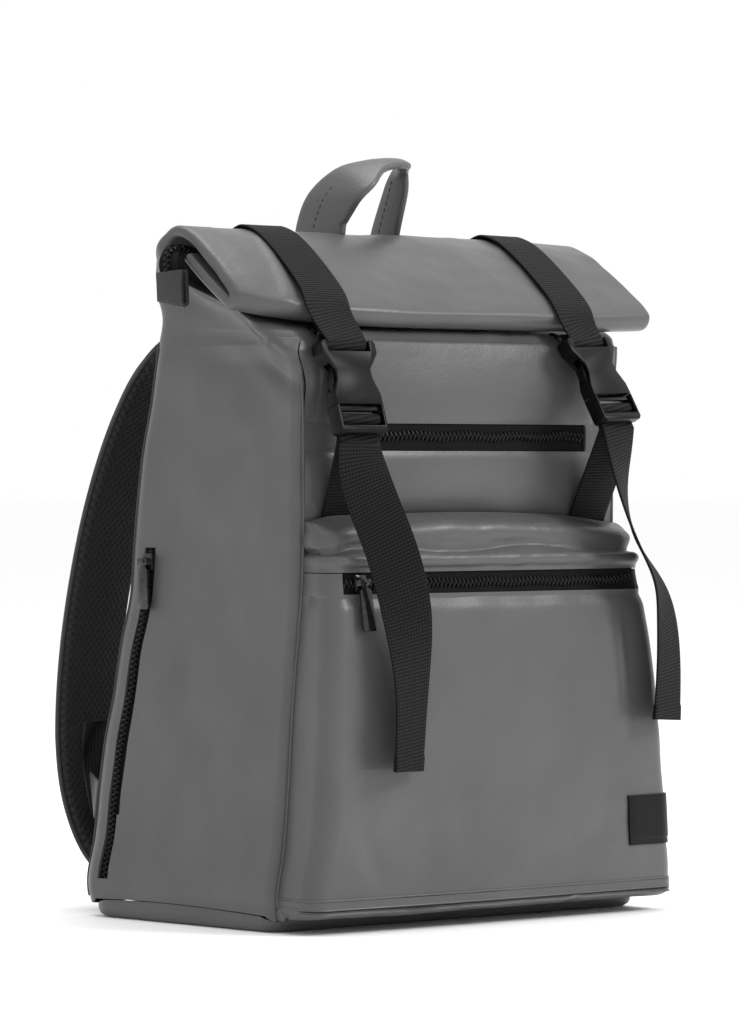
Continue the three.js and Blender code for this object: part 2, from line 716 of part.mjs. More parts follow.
function mainZipPath() {
  const { middle, height, outward } = collarSection(COLLAR_END);
  const onward = vec(0, -outward.z, outward.y);
  const mouth = vec(0, middle, height);
  const at = (x, past, drop) =>
    mouth.clone().addScaledVector(onward, past).add(vec(x, 0, -drop)).add(endShift(x, COLLAR_END));
  const hang = vec(0, 1, 0.15);
  const tape = mainTapeWidth;
  const inRoll = spread(0.78, -0.94, 15).map((share) => ({
    point: at(share * rollHalfWidth, tape * 0.16, 0),
    across: onward,
    wide: tape,
  }));
  return [
    ...inRoll,
    { point: at(-zipTailReach + 11, tape * 0.42, 0), across: onward, wide: tape * 0.7 },
    { point: at(-zipTailReach + 6, tape * 0.55, 1), across: onward.clone().lerp(hang, 0.4), wide: tape * 0.65 },
    { point: at(-zipTailReach + 2, tape * 0.55, 4), across: hang, wide: tape * 0.7 },
    { point: at(-zipTailReach, tape * 0.46, 8), across: hang, wide: tape * 0.9 },
    { point: at(-zipTailReach, tape * 0.3, 18), across: hang, wide: tape * 0.9 },
  ];
}

function makeMainZip() {
  return ribbon(mainZipPath(), mainTapeWidth, collarWall);
}

function makeEndTab() {
  const end = mainZipPath().at(-1).point;
  const spacing = collarWall / 2 + restGap + tabThick / 2;
  const across = vec(0, 1, 0.15);
  const top = end.z + 7;
  const floor = top - tabTall + spacing;
  const bend = [0, 1, 2, 3, 4].map((n) => {
    const turn = (n * Math.PI) / 4;
    return vec(end.x - spacing * Math.cos(turn), end.y - 1, floor - spacing * Math.sin(turn));
  });
  const path = [vec(end.x - spacing, end.y, top), ...bend, vec(end.x + spacing, end.y, top)];
  return ribbon(path.map((point) => ({ point, across })), tabWide, tabThick);
}

// Buckles: each is made upright about its lower end and set by its own frame. Lengths are shares of
// seamHalfWidth across, of pocketDepth ahead of the front seams and of pocketTop above the pocket.
const BUCKLES = {
  left: { across: -0.735, ahead: 0.805, up: 0.193, lean: 0, pitch: 17, turn: 0, lip: -0.752, ridge: -0.622 },
  right: { across: 0.657, ahead: 1.011, up: 0.227, lean: 2, pitch: 28, turn: 8, lip: 0.6, ridge: 0.706 },
};

function fromPocket({ across, ahead, up }) {
  return vec(seamHalfWidth * across, -frontReach - pocketDepth * ahead, pocketTop * (1 + up));
}

function buckleFrame(row) {
  const { lean, pitch, turn } = row;
  const turned = new THREE.Euler(-pitch * degrees, -lean * degrees, turn * degrees, "ZYX");
  return new THREE.Matrix4().makeRotationFromEuler(turned).setPosition(fromPocket(row));
}

const barHeight = 53.4; // middles of the buckle's bars, from its lower end
const crossBarHeight = 9.75;
const crossBar = 2.6; // thickness of the plug's inner bar
const anchorDepth = 10; // the lower strap is sewn in this far below the pocket's top
const slotHalf = webbingWidth / 2 + 1; // half the width of the slots that the webbing goes through

// A round bar across, about a middle given in depth and height
function crossRod(radius, reach, y, z) {
  const ring = (x) =>
    spread(0, 315, 7).map((angle) =>
      vec(x, y + radius * Math.cos(angle * degrees), z + radius * Math.sin(angle * degrees)),
    );
  return loft([ring(-reach), ring(reach)]);
}

function makeSocket() {
  const half = buckleWidth / 2;
  const right = [
    [half - 3, socketFloor],
    [half - 3.5, 24],
    [half - 7, 32],
    [half - 7.5, 38],
    [half - 3.5, 43],
    [half, 47.5],
    [half, 53.5],
    [half - 1.5, 55.5],
    [slotHalf, 55.5],
    [slotHalf, socketTop],
  ];
  const left = right.map(([x, z]) => [-x, z]).reverse();
  const depth = buckleThick / 2;
  const body = plate([...right, ...left], -depth, depth);
  const hollow = depth - 2;
  const mouth = half - 4.6;
  const cavity = block(vec(-mouth, -hollow, socketFloor - 1), vec(mouth, hollow, socketTop - 3));
  return joined(cut(body, cavity), crossRod(buckleBar / 2, slotHalf + 1, 0, barHeight));
}

function makePlug() {
  const half = buckleWidth / 2 - 3;
  const depth = buckleThick / 2;
  const bottom = plate(
    [
      [-half + 2, 0],
      [half - 2, 0],
      [half, 2],
      [half, plugTop],
      [slotHalf, plugTop],
      [slotHalf, lowerBarTop],
      [-slotHalf, lowerBarTop],
      [-slotHalf, plugTop],
      [-half, plugTop],
      [-half, 2],
    ],
    -depth,
    depth,
  );
  const behindBar = block(vec(-slotHalf, 0.5, -1), vec(slotHalf, depth + 1, lowerBarTop + 1));
  const cross = crossRod(crossBar / 2, slotHalf + 1, 0, crossBarHeight);
  const prong = (side) => {
    const outline = [
      [half - 5, plugTop - 2],
      [half - 2.1, plugTop - 2],
      [half - 2.1, 30],
      [half - 4, 40],
      [half - 7, 44],
      [half - 9, 42],
      [half - 6, 34],
      [half - 5, 24],
    ];
    return plate(outline.map(([x, z]) => [side * x, z]), -2, 2);
  };
  const bridge = block(vec(-slotHalf - 1, -2, plugTop - 3), vec(slotHalf + 1, 2, plugTop - 0.5));
  return joined(cut(bottom, behindBar), cross, prong(1), prong(-1), bridge);
}

// Upper straps: over the ridge, down the flap, off the lip and round the socket's bar
function upperStrapPath(buckle) {
  const frame = buckleFrame(buckle);
  const lift = restGap + webbingThick / 2;
  const onRoll = STRAP_STATIONS.map((row) => {
    const share = (row - STRAP_STATIONS[0]) / (STRAP_STATIONS.at(-1) - STRAP_STATIONS[0]);
    const x = seamHalfWidth * mix(buckle.ridge, buckle.lip, share);
    const edge = (side) => rollPoint(x + (side * webbingWidth) / 2, row, rollGap + lift);
    return { point: rollPoint(x, row, rollGap + lift), across: edge(1).sub(edge(-1)) };
  });
  const wrap = buckleBar / 2 + seamGap + webbingThick / 2;
  const across = vec(1, 0, 0).transformDirection(frame);
  const local = (y, z) => ({ point: vec(0, y, z).applyMatrix4(frame), across });
  const round = [180, 225, 270, 315, 360].map((angle) =>
    local(wrap * Math.cos(angle * degrees), barHeight + wrap * Math.sin(angle * degrees)),
  );
  return [...onRoll, local(-wrap, barHeight + 3.5), ...round, local(wrap, barHeight + 8)];
}

// Lower straps: from the pocket's top up behind the plug, over its cross bar, down behind its
// lower bar and on to the free end. The anchor and the tail's rows, along the way it hangs, are
// shares of the same sizes as the buckles' rows, and turn is in degrees.
const LOWER_STRAPS = {
  left: {
    anchor: -0.675,
    tail: [
      { across: -0.762, ahead: 0.889, up: 0.126, turn: -20 },
      { across: -0.725, ahead: 1.0, up: 0.038, turn: -36 },
      { across: -0.684, ahead: 1.27, up: -0.071, turn: -40 },
      { across: -0.629, ahead: 1.375, up: -0.202, turn: -32 },
      { across: -0.6, ahead: 1.38, up: -0.307, turn: -6 },
      { across: -0.594, ahead: 1.39, up: -0.441, turn: 14 },
      { across: -0.603, ahead: 1.347, up: -0.613, turn: 16 },
    ],
  },
  right: {
    anchor: 0.705,
    tail: [
      { across: 0.665, ahead: 1.01, up: 0.125, turn: 24 },
      { across: 0.69, ahead: 1.0, up: 0.034, turn: 42 },
      { across: 0.748, ahead: 1.083, up: -0.08, turn: 50 },
      { across: 0.832, ahead: 1.25, up: -0.164, turn: 38 },
      { across: 0.867, ahead: 1.278, up: -0.244, turn: 24 },
      { across: 0.885, ahead: 1.278, up: -0.37, turn: 18 },
      { across: 0.874, ahead: 1.264, up: -0.517, turn: 14 },
    ],
  },
};

function lowerStrapPath(name) {
  const frame = buckleFrame(BUCKLES[name]);
  const { anchor, tail } = LOWER_STRAPS[name];
  const across = vec(1, 0, 0).transformDirection(frame);
  const lift = restGap + webbingThick / 2;
  const wrap = crossBar / 2 + lift;
  const local = (y, z) => ({ point: vec(0, y, z).applyMatrix4(frame), across });
  const round = [0, 45, 90, 135, 180].map((angle) =>
    local(wrap * Math.cos(angle * degrees), crossBarHeight + wrap * Math.sin(angle * degrees)),
  );
  const flat = vec(1, 0, 0);
  const hidden = vec(anchor * seamHalfWidth, -frontReach - lift, pocketTop - anchorDepth);
  const leaving = vec(hidden.x, hidden.y - restGap * 3, pocketTop - 2);
  const behind = buckleThick / 2 + restGap;
  const up = [
    { point: hidden, across: flat },
    { point: leaving, across: flat },
    { point: leaving.clone().lerp(local(behind, -4).point, 0.5), across: flat },
    local(behind, -2),
    local(behind - 0.1, 3),
    local(behind - 0.7, 6.5),
    local(behind - 2.2, 9),
  ];
  const threaded = [
    [-2.2, 8],
    [-0.6, 6.5],
    [1.7, 5.4],
    [2.1, 3],
    [2.1, -2],
    [2.6, -6],
  ];
  const down = threaded.map(([y, z]) => local(y, z));
  const swing = (row) => ({
    point: fromPocket(row),
    across: vec(Math.cos(row.turn * degrees), Math.sin(row.turn * degrees), 0),
  });
  const hanging = [down.at(-1), ...tail.map(swing)];
  const tailPath = smoothPath(
    hanging.map(({ point }) => point),
    hanging.map((row) => row.across),
    14,
  ).slice(1);
  return [...up, ...round, ...down, ...tailPath];
}

// Handle: a padded strip across the ridge that stands up in a loop. Each row gives its front and
// back edges, as shares of handleSpread across, handleReach back and handleRise over the mouth.
const HANDLE_ROWS = [
  { x: -1, front: -0.33, frontUp: 0.651, back: 0.82, backUp: 0.425 },
  { x: -1, front: -0.5, frontUp: 0.71, back: 0.76, backUp: 0.64 },
  { x: -1, front: -0.73, frontUp: 0.79, back: 0.5, backUp: 0.81 },
  { x: -0.73, front: -0.78, frontUp: 0.86, back: 0.14, backUp: 0.94 },
  { x: -0.27, front: -0.62, frontUp: 0.94, back: -0.09, backUp: 0.985 },
  { x: 0.27, front: -0.55, frontUp: 0.97, back: -0.12, backUp: 1.0 },
  { x: 0.67, front: -0.4, frontUp: 0.97, back: -0.02, backUp: 0.985 },
  { x: 0.93, front: -0.12, frontUp: 0.94, back: 0.3, backUp: 0.93 },
  { x: 1, front: -0.05, frontUp: 0.84, back: 0.5, backUp: 0.83 },
  { x: 1, front: 0.12, frontUp: 0.64, back: 0.78, backUp: 0.59 },
  { x: 1, front: 0.17, frontUp: 0.568, back: 0.81, backUp: 0.4 },
];

function handleEdge(place, edge, rise) {
  return vec(
    handleSpread * smoothRow(HANDLE_ROWS, place, "x"),
    handleReach * smoothRow(HANDLE_ROWS, place, edge),
    bodyHeight + handleRise * smoothRow(HANDLE_ROWS, place, rise),
  );
}

function makeHandle() {
  const path = spread(0, HANDLE_ROWS.length - 1, 20).map((place) => {
    const front = handleEdge(place, "front", "frontUp");
    const back = handleEdge(place, "back", "backUp");
    return { point: front.clone().lerp(back, 0.5), across: back.clone().sub(front), wide: front.distanceTo(back) };
  });
  return ribbon(path, handleReach, handleThick, 2, true);
}

// Shoulder straps: padded, from high on the back in a bow down to the lower back corners
const STRAP_ROWS = [
  { x: 0.62, back: 0, z: 1.0, wide: 0.9, turn: 0 },
  { x: 0.62, back: 0.32, z: 1.0, wide: 0.95, turn: 0 },
  { x: 0.72, back: 0.55, z: 0.95, wide: 1, turn: 1 },
  { x: 0.8, back: 0.715, z: 0.86, wide: 1, turn: 1 },
  { x: 0.9, back: 0.83, z: 0.73, wide: 1, turn: 1 },
  { x: 0.96, back: 0.925, z: 0.59, wide: 1, turn: 1 },
  { x: 1.0, back: 0.99, z: 0.44, wide: 1, turn: 1 },
  { x: 1.02, back: 1.0, z: 0.3, wide: 1, turn: 1 },
  { x: 1.02, back: 0.94, z: 0.19, wide: 0.95, turn: 1 },
  { x: 1.0, back: 0.78, z: 0.1, wide: 0.8, turn: 0.6 },
  { x: 0.97, back: 0.51, z: 0.047, wide: 0.6, turn: 0 },
];

// The direction of a strap's width, with the given share of its full turn
function strapAcross(side, share) {
  const turn = strapTurn * share * degrees;
  return vec(side * Math.cos(turn), -Math.sin(turn), 0);
}

function strapPath(side) {
  const acrosses = STRAP_ROWS.map(({ turn }) => strapAcross(side, turn));
  const seat = bodySection(bodyHeight).back + rollGap;
  const points = STRAP_ROWS.map(({ x, back, z }) =>
    vec(side * x * strapSpread, seat + back * strapBow, z * strapRise),
  );
  const widths = STRAP_ROWS.map((row) => row.wide * strapWidth);
  return smoothPath(points, acrosses, 22, widths);
}

function makeShoulderStrap(side) {
  return ribbon(strapPath(side), strapWidth, strapThick, 4);
}

// Lower webbing, from a strap's lower end up past the leather tab, with a free end above it
const LOWER_WEBBING = [
  { x: 0.98, back: 0.6, z: 0.09 },
  { x: 1.04, back: 0.74, z: 0.145 },
  { x: 1.075, back: 0.805, z: 0.215 },
  { x: 1.09, back: 0.82, z: 0.28 },
  { x: 1.09, back: 0.8, z: 0.33 },
];

function webbingPath(side) {
  const seat = bodySection(bodyHeight).back + rollGap;
  const points = LOWER_WEBBING.map(({ x, back, z }) =>
    vec(side * x * strapSpread, seat + back * strapBow, z * strapRise),
  );
  return smoothPath(points, points.map(() => strapAcross(side, 1)), 10);
}

// Leather tab: a triangle sewn at the back corner, whose tip lies on the lower webbing
function makeStrapTab(side) {
  const onSeam = (z) => bodySurface(side * sideSeam, z);
  const out = vec(side * Math.sin(quarter / 2), Math.cos(quarter / 2), 0);
  const base = [tabSeamTop, tabSeamFloor].map((z) => onSeam(z).addScaledVector(out, seamGap + tabThick / 2));
  const path = webbingPath(side);
  const meeting = path.find(({ point }) => point.z > tabSeamTop);
  const edge = meeting.point.clone().addScaledVector(meeting.across, lowerWebbingWidth / 2 - 4);
  const tip = edge.add(vec(0, -webbingThick / 2 - restGap - tabThick / 2 - 0.3, 0));
  const corners = [base[0], base[1], tip];
  const normal = base[1].clone().sub(base[0]).cross(tip.clone().sub(base[0])).normalize();
  const ring = (lift) => corners.map((corner) => corner.clone().addScaledVector(normal, lift));
  return loft([ring(-tabThick / 2), ring(tabThick / 2)]);
}

// Zip sliders and pulls, made about the pull's pin: it runs across, and outward is -Y
function makeSlider() {
  const [wide, tall, deep] = [sliderWide, sliderTall, sliderDeep];
  const base = block(vec(-wide / 2, pinSetback - deep, -tall / 2), vec(wide / 2, pinSetback, tall / 2));
  const ear = (x) => block(vec(x, -1.5, -1.8), vec(x + 1.4, pinSetback - deep + 0.5, 1.8));
  return joined(base, ear(-4), ear(2.6), crossRod(pinRadius, 3, 0, 0));
}

function makePull() {
  const half = pullThick / 2;
  const neck = 2;
  const outline = [
    [neck, 2.3],
    [neck, -3],
    [pullTop / 2, -4.5],
    [pullFoot / 2, 1 - pullLong],
    [pullFoot / 2 - 1, -pullLong],
  ];
  const mirrored = outline.map(([x, z]) => [-x, z]).reverse();
  const blade = plate([...outline, ...mirrored], -half, half);
  const eye = crossRod(pinRadius + restGap + eyeWall, neck, 0, 0);
  return cut(joined(blade, eye), crossRod(pinRadius + restGap, neck + 1, 0, 0));
}

function pocketSliderFrame() {
  const station = pocketZipStation(pullSeat);
  const row = mix(POCKET_ZIP_FLOOR, POCKET_ZIP_TOP, 0.5);
  const above = pocketSurface(station, row + 0.5);
  const up = above.sub(pocketSurface(station, row - 0.5)).setX(0).normalize();
  const across = vec(1, 0, 0);
  const inward = up.clone().cross(across);
  const lift = chainRise - pocketLeather - tapeGap + sliderGap + pinSetback;
  const point = pocketSurface(station, row).addScaledVector(inward, -lift);
  return new THREE.Matrix4().makeBasis(across, inward, up).setPosition(point);
}

function sideSliderFrame() {
  const z = sideZipTop - 8;
  const { half, back } = bodySection(z);
  const chain = -leather - tapeGap + chainRise;
  const y = back - backCorner - sideZipSetback - sideZipWidth / 2;
  const frame = new THREE.Matrix4().makeRotationZ(-quarter);
  return frame.setPosition(-half - chain - sliderGap - pinSetback, y, z);
}

// Press stud on the collar's front, under the lip beside a strap
function makeStud() {
  const profile = [
    [0, 0],
    [studRadius, 0],
    [studRadius, studTall * 0.3],
    [studRadius * 0.7, studTall * 0.85],
    [0, studTall],
  ];
  const dome = new THREE.LatheGeometry(profile.map(([r, z]) => new THREE.Vector2(r, z)), 14);
  return mergedGeometry(dome);
}

function studFrame(x) {
  const at = (row, lift) => {
    const { middle, height, thick, outward } = collarSection(row);
    return vec(x, middle, height).addScaledVector(outward, -thick - lift);
  };
  const along = at(studRow + 0.1, 0).sub(at(studRow - 0.1, 0)).normalize();
  const up = vec(1, 0, 0).cross(along).normalize();
  const point = at(studRow, 0).addScaledVector(up, rollGap);
  return new THREE.Matrix4().makeBasis(vec(1, 0, 0), up, vec(1, 0, 0).cross(up)).setPosition(point);
}

const material = (color, roughness, metalness = 0) =>
  new THREE.MeshStandardMaterial({ color, roughness, metalness });

const greyLeather = () => material(0x6b6c6a, 0.55);
const blackCloth = () => material(0x1b1b1b, 0.85);
const blackPlastic = () => material(0x161616, 0.35);
const blackMetal = () => material(0x141414, 0.25, 0.6);

const bag = new THREE.Group();

function place(name, geometry, look, frame = null) {
  const mesh = new THREE.Mesh(geometry, look);
  mesh.name = name;
  if (frame) mesh.applyMatrix4(frame);
  bag.add(mesh);
  return mesh;
}

place("base_panel", makeBase(), greyLeather());
place("front_panel", makeFront(), greyLeather());
place("side_panel_left", makeSide(-1), greyLeather());
place("side_panel_right", makeSide(1), greyLeather());
place("back_panel", makeBack(), greyLeather());
place("upper_zip", makeUpperZip(), blackCloth());
place("side_zip", makeSideZip(), blackCloth());
place("pocket_front", makePocketFront(), greyLeather());
place("pocket_floor", makePocketFloor(), greyLeather());
place("pocket_hood", makePocketHood(), greyLeather());
place("pocket_zip", makePocketZip(), blackCloth());
place("label_patch", makeLabel(), blackCloth());
place("roll_collar", makeCollar(), greyLeather());
place("main_zip", makeMainZip(), blackCloth());
place("zip_end_tab", makeEndTab(), greyLeather());
place("handle", makeHandle(), greyLeather());
place("pocket_slider", makeSlider(), blackMetal(), pocketSliderFrame());
place("pocket_pull", makePull(), blackMetal(), pocketSliderFrame());
place("side_slider", makeSlider(), blackMetal(), sideSliderFrame());
place("side_pull", makePull(), blackMetal(), sideSliderFrame());
for (const name of ["left", "right"]) {
  const buckle = BUCKLES[name];
  const side = name === "left" ? -1 : 1;
  place(`upper_strap_${name}`, ribbon(upperStrapPath(buckle), webbingWidth, webbingThick), blackCloth());
  place(`lower_strap_${name}`, ribbon(lowerStrapPath(name), webbingWidth, webbingThick), blackCloth());
  place(`buckle_socket_${name}`, makeSocket(), blackPlastic(), buckleFrame(buckle));
  place(`buckle_plug_${name}`, makePlug(), blackPlastic(), buckleFrame(buckle));
  const studX = buckle.lip * seamHalfWidth - studRadius;
  place(`snap_stud_${name}`, makeStud(), blackMetal(), studFrame(studX));
  place(`shoulder_strap_${name}`, makeShoulderStrap(side), blackCloth());
  place(`lower_webbing_${name}`, ribbon(webbingPath(side), lowerWebbingWidth, webbingThick), blackCloth());
  place(`strap_tab_${name}`, makeStrapTab(side), greyLeather());
}

export default bag;
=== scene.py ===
import math
import bpy
import numpy as np
from mathutils import Euler, Matrix, Vector, noise


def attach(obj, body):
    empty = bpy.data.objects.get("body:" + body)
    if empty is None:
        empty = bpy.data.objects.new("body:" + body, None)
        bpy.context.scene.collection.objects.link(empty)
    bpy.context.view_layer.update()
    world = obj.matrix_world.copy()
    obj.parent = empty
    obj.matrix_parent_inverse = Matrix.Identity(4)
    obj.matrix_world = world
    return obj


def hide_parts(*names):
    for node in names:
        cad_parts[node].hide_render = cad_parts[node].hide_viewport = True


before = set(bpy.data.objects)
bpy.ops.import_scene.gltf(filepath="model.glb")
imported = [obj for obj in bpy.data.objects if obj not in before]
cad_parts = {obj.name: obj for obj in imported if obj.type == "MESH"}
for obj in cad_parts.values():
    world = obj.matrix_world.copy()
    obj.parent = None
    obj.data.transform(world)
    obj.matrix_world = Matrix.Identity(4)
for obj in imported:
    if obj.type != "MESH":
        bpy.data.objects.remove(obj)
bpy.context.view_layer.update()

# Sizes of the bag in millimetres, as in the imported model
HEIGHT = 338  # from the floor to the mouth
SEAM, FRONT, BACK = 143, 82, 91  # half width at the front seams, and reach to the front and to the back
FR, BR = 5.5, 14  # corner radii at the front and at the back
LEATHER, POCKET_LEATHER = 2, 1.8
POCKET_TOP, POCKET_DEPTH, POCKET_R = 238, 36, 12
RISE, REACH = 62.5, 84.5  # how far the roll stands over the mouth and hangs forward
ROLL_W, ROLL_T, WALL = 158, 3.5, 1.6  # half width, half thickness and cloth of the roll
LEFT_PULL, RIGHT_PULL, END_LIFT, DROOP = 26, 5, .4, 2.5  # how the roll's ends are drawn back and hang
GAP = .3  # between a piece and what it lies on
ZIP_FLAT = 123.6  # half width of the front's flat stretch at the upper zip
ZIP_LEFT, ZIP_RIGHT, ZIP_LOW, ZIP_HIGH = -93, 99, 275, 291  # window of the upper zip
POCKET_ZIP_LEFT, POCKET_ZIP_RIGHT = -116.5, 124.5
SIDE_ZIP_LOW, SIDE_ZIP_HIGH = 22, 218
WEB_WIDE, WEB_THICK, TAPE_THICK = 30, 1.6, 1.6
BAR_HEIGHT, BAR_HALF = 53.4, 1.75  # the bar of the buckle's socket
CROSS_BAR_HEIGHT, CROSS_BAR_HALF = 9.75, 1.3  # the bar of its plug
BUCKLE_BACK = 4.75
HANDLE_SPREAD, HANDLE_REACH, HANDLE_RISE, HANDLE_THICK = 30, 40, 111, 4.4
STRAP_SPREAD, STRAP_BOW, STRAP_RISE = 100, 95, 342
STRAP_WIDE, STRAP_THICK, STRAP_TURN = 56, 9.5, 13.5
LABEL_LEFT, LABEL_FLOOR, LABEL_TOP, LABEL_FLAT = 103, 44, 71, 130.2
ZIP_TAIL = -164  # where the main zip's tail hangs

# Tables of sections: shares of the sizes above
BODY_H = [0, .06, .14, .225, .31, .39, .476, .56, .645, .73, .816, .9, 1]
BODY_W = [.986, 1, .965, .945, .93, .916, .895, .874, .864, .864, .864, .867, .885]
BODY_B = [.97, 1, .997, .986, .953, .89, .86, .8, .785, .745, .69, .6, .5]
POCK_H = [.055, .037, .04, .058, .083, .27, .525, .655, .78, .811, .861, .897, .928, .97, 1]
POCK_D = [.1, .45, .75, .9, .92, 1, .97, .92, .82, .76, .7, .74, .6, .5, .12]
# The roll's rows: forward, up, thick, gain in width, tilt in degrees
COL = np.array([
    (0, 0, 1, 0, 0), (.05, .18, .85, .05, 3), (-.01, .38, .6, .25, 6), (-.09, .568, .35, .58, 14),
    (-.118, .72, .155, .85, 31), (-.077, .864, .03, 1, 50), (.012, .968, 0, 1, 70), (.142, 1, 0, 1, 95),
    (.331, .92, 0, 1, 115), (.533, .752, 0, 1, 126), (.734, .552, 0, 1, 127), (.899, .376, 0, 1, 132),
    (.9645, .298, 0, 1, 150), (.995, .265, 0, 1, 180), (.975, .206, 0, 1, 235), (.941, .192, 0, 1, 270),
    (.9, .206, 0, 1, 297), (.71, .36, 0, 1, 302), (.497, .544, 0, 1, 303), (.308, .72, 0, 1, 303)])


def smooth(values, place):
    """A curve through table values, read at a place between them."""
    v = np.asarray(values, float)
    last = len(v) - 1
    at = np.clip(np.asarray(place, float), 0, last)
    row = np.minimum(np.floor(at).astype(int), last - 1)
    s = at - row
    b, f, t, a = (v[np.clip(row + k, 0, last)] for k in (-1, 0, 1, 2))
    si, so = (t - b) / 2, (a - f) / 2
    return f + s * (si + s * (3 * (t - f) - 2 * si - so + s * (2 * (f - t) + si + so)))


def bell(x, middle, wide):
    """A soft hump of height 1."""
    return np.exp(-((x - middle) / wide) ** 2)


def stack(x, y, z):
    return np.stack(np.broadcast_arrays(x, y, z), -1).astype(float)


def waves(p, scale, seed):
    """Slow noise over points, for the unevenness of cloth."""
    flat = p.reshape(-1, 3) / scale + seed * 7.3
    return np.array([noise.noise(Vector(q)) for q in flat]).reshape(p.shape[:-1])


def body(z):
    """Half width and reach to the back at a height."""
    row = np.interp(np.asarray(z, float) / HEIGHT, BODY_H, range(len(BODY_H)))
    return SEAM * smooth(BODY_W, row) + FR, BACK * smooth(BODY_B, row)


def rounded(st, half, front, back, fr, br):
    """A rectangle with round corners: station 0 front middle, 1 to 2 and 3 to 4 corners, 5 back middle."""
    side = np.where(st < 0, -1.0, 1.0)
    at = np.minimum(np.abs(st), 5)
    turn = (at % 1) * math.pi / 2
    front, back = np.broadcast_to(front, at.shape), np.broadcast_to(back, at.shape)
    cases = [at <= 1, at < 2, at < 3, at < 4, at >= 4]
    x = np.select(cases, [(half - fr) * at, half - fr + fr * np.sin(turn), half + 0 * at,
                          half - br * (1 - np.cos(turn)), (half - br) * (5 - at)])
    y = np.select(cases, [front, front + fr * (1 - np.cos(turn)),
                          front + fr + (back - br - front - fr) * (at - 2),
                          back - br * (1 - np.sin(turn)), back])
    return side * x, y


def body_surface(st, z):
    half, back = body(z)
    x, y = rounded(st, half, -FRONT, back, FR, BR)
    above = np.clip((z - POCKET_TOP) / (HEIGHT - POCKET_TOP), 0, 1)
    middle = np.maximum(0, 1 - np.abs(st)) * (1 + np.abs(st))
    return stack(x, y - 8 * middle * np.sin(math.pi * above), z)


def hem(st):
    """Height of the base tray's wavy rim."""
    return 9 + 2.5 * np.cos(2.4 * st)


def pocket_surface(st, row):
    z = POCKET_TOP * smooth(POCK_H, row)
    depth = POCKET_DEPTH * smooth(POCK_D, row)
    seam = body(z)[0] - FR
    reach = seam + 2.5 * np.minimum(1, depth / POCKET_DEPTH)
    rnd = np.minimum(POCKET_R, depth * .55)
    foot = -FRONT - GAP
    side, at = np.where(st < 0, -1.0, 1.0), np.abs(st)
    turn = (at - 1) * math.pi / 2
    x = np.select([at <= 1, at < 2, at >= 2],
                  [(reach - rnd) * at, reach - rnd + rnd * np.sin(turn), reach + (seam - reach) * (at - 2)])
    y = np.select([at <= 1, at < 2, at >= 2],
                  [foot - depth - 3 * (depth / POCKET_DEPTH) * (1 - at * at),
                   foot - depth + rnd * (1 - np.cos(turn)),
                   foot - depth + rnd + (depth - rnd) * (at - 2)])
    return stack(side * x, y, z)


def pocket_row(z):
    return np.interp(z / POCKET_TOP, POCK_H[3:], range(3, 15))


def collar_section(row):
    half, back = body(HEIGHT)
    mid, deep = (back - FRONT) / 2, (back + FRONT) / 2
    rising = np.clip(row / 2, 0, 1)
    tilt = np.radians(smooth(COL[:, 4], row))
    return (mid * (1 - rising) - REACH * smooth(COL[:, 0], row), HEIGHT + .25 + RISE * smooth(COL[:, 1], row),
            ROLL_T + (deep - ROLL_T) * np.maximum(0, smooth(COL[:, 2], row)),
            half + (ROLL_W - half) * smooth(COL[:, 3], row), tilt)


def end_shift(x, row):
    """How the roll's ends are drawn back and hang."""
    out = np.minimum(1, np.abs(x) / ROLL_W)
    forward = np.clip(smooth(COL[:, 0], row), 0, 1) * np.clip(row - 5, 0, 1)
    pull = np.where(x < 0, LEFT_PULL, RIGHT_PULL) * out ** 4 * forward
    ridge = np.clip((row - 3) / 3, 0, 1) * np.clip((12 - row) / 4, 0, 1)
    return stack(0 * x, pull, END_LIFT * pull - np.where(x > 0, DROOP * out ** 3 * ridge, 0))


def collar_point(st, row, inset):
    """A point on the sleeve, inset from its outside."""
    middle, height, thick, half, tilt = collar_section(row)
    deep = thick - inset
    fr = np.maximum(np.minimum(FR * 1.5, thick) - inset, .3)
    br = np.maximum(np.minimum(BR, thick) - inset, .3)
    x, y = rounded(st, half - inset, -deep, deep, fr, br)
    return stack(x, middle + y * np.cos(tilt), height + y * np.sin(tilt)) + end_shift(x, row)


def roll_point(x, row, lift):
    """A point on the roll's upper layer, lifted off it."""
    middle, height, thick, _, tilt = collar_section(row)
    y = thick + lift
    return stack(x, middle + y * np.cos(tilt), height + y * np.sin(tilt)) + end_shift(x, row)


# Materials
def material(name, build):
    mat = bpy.data.materials.new(name)
    mat.use_nodes = True
    tree = mat.node_tree
    shader = tree.nodes["Principled BSDF"]

    def node(kind, inputs=None, **settings):
        made = tree.nodes.new("ShaderNode" + kind)
        for key, value in settings.items():
            setattr(made, key, value)
        for key, value in (inputs or {}).items():
            if isinstance(value, bpy.types.NodeSocket):
                tree.links.new(value, made.inputs[key])
            else:
                made.inputs[key].default_value = value
        return made

    def link(a, b):
        tree.links.new(a, shader.inputs[b])
    build(node, link, shader)
    return mat


def math_node(node, op, a, b=0.0):
    return node("Math", {0: a, 1: b}, operation=op).outputs[0]


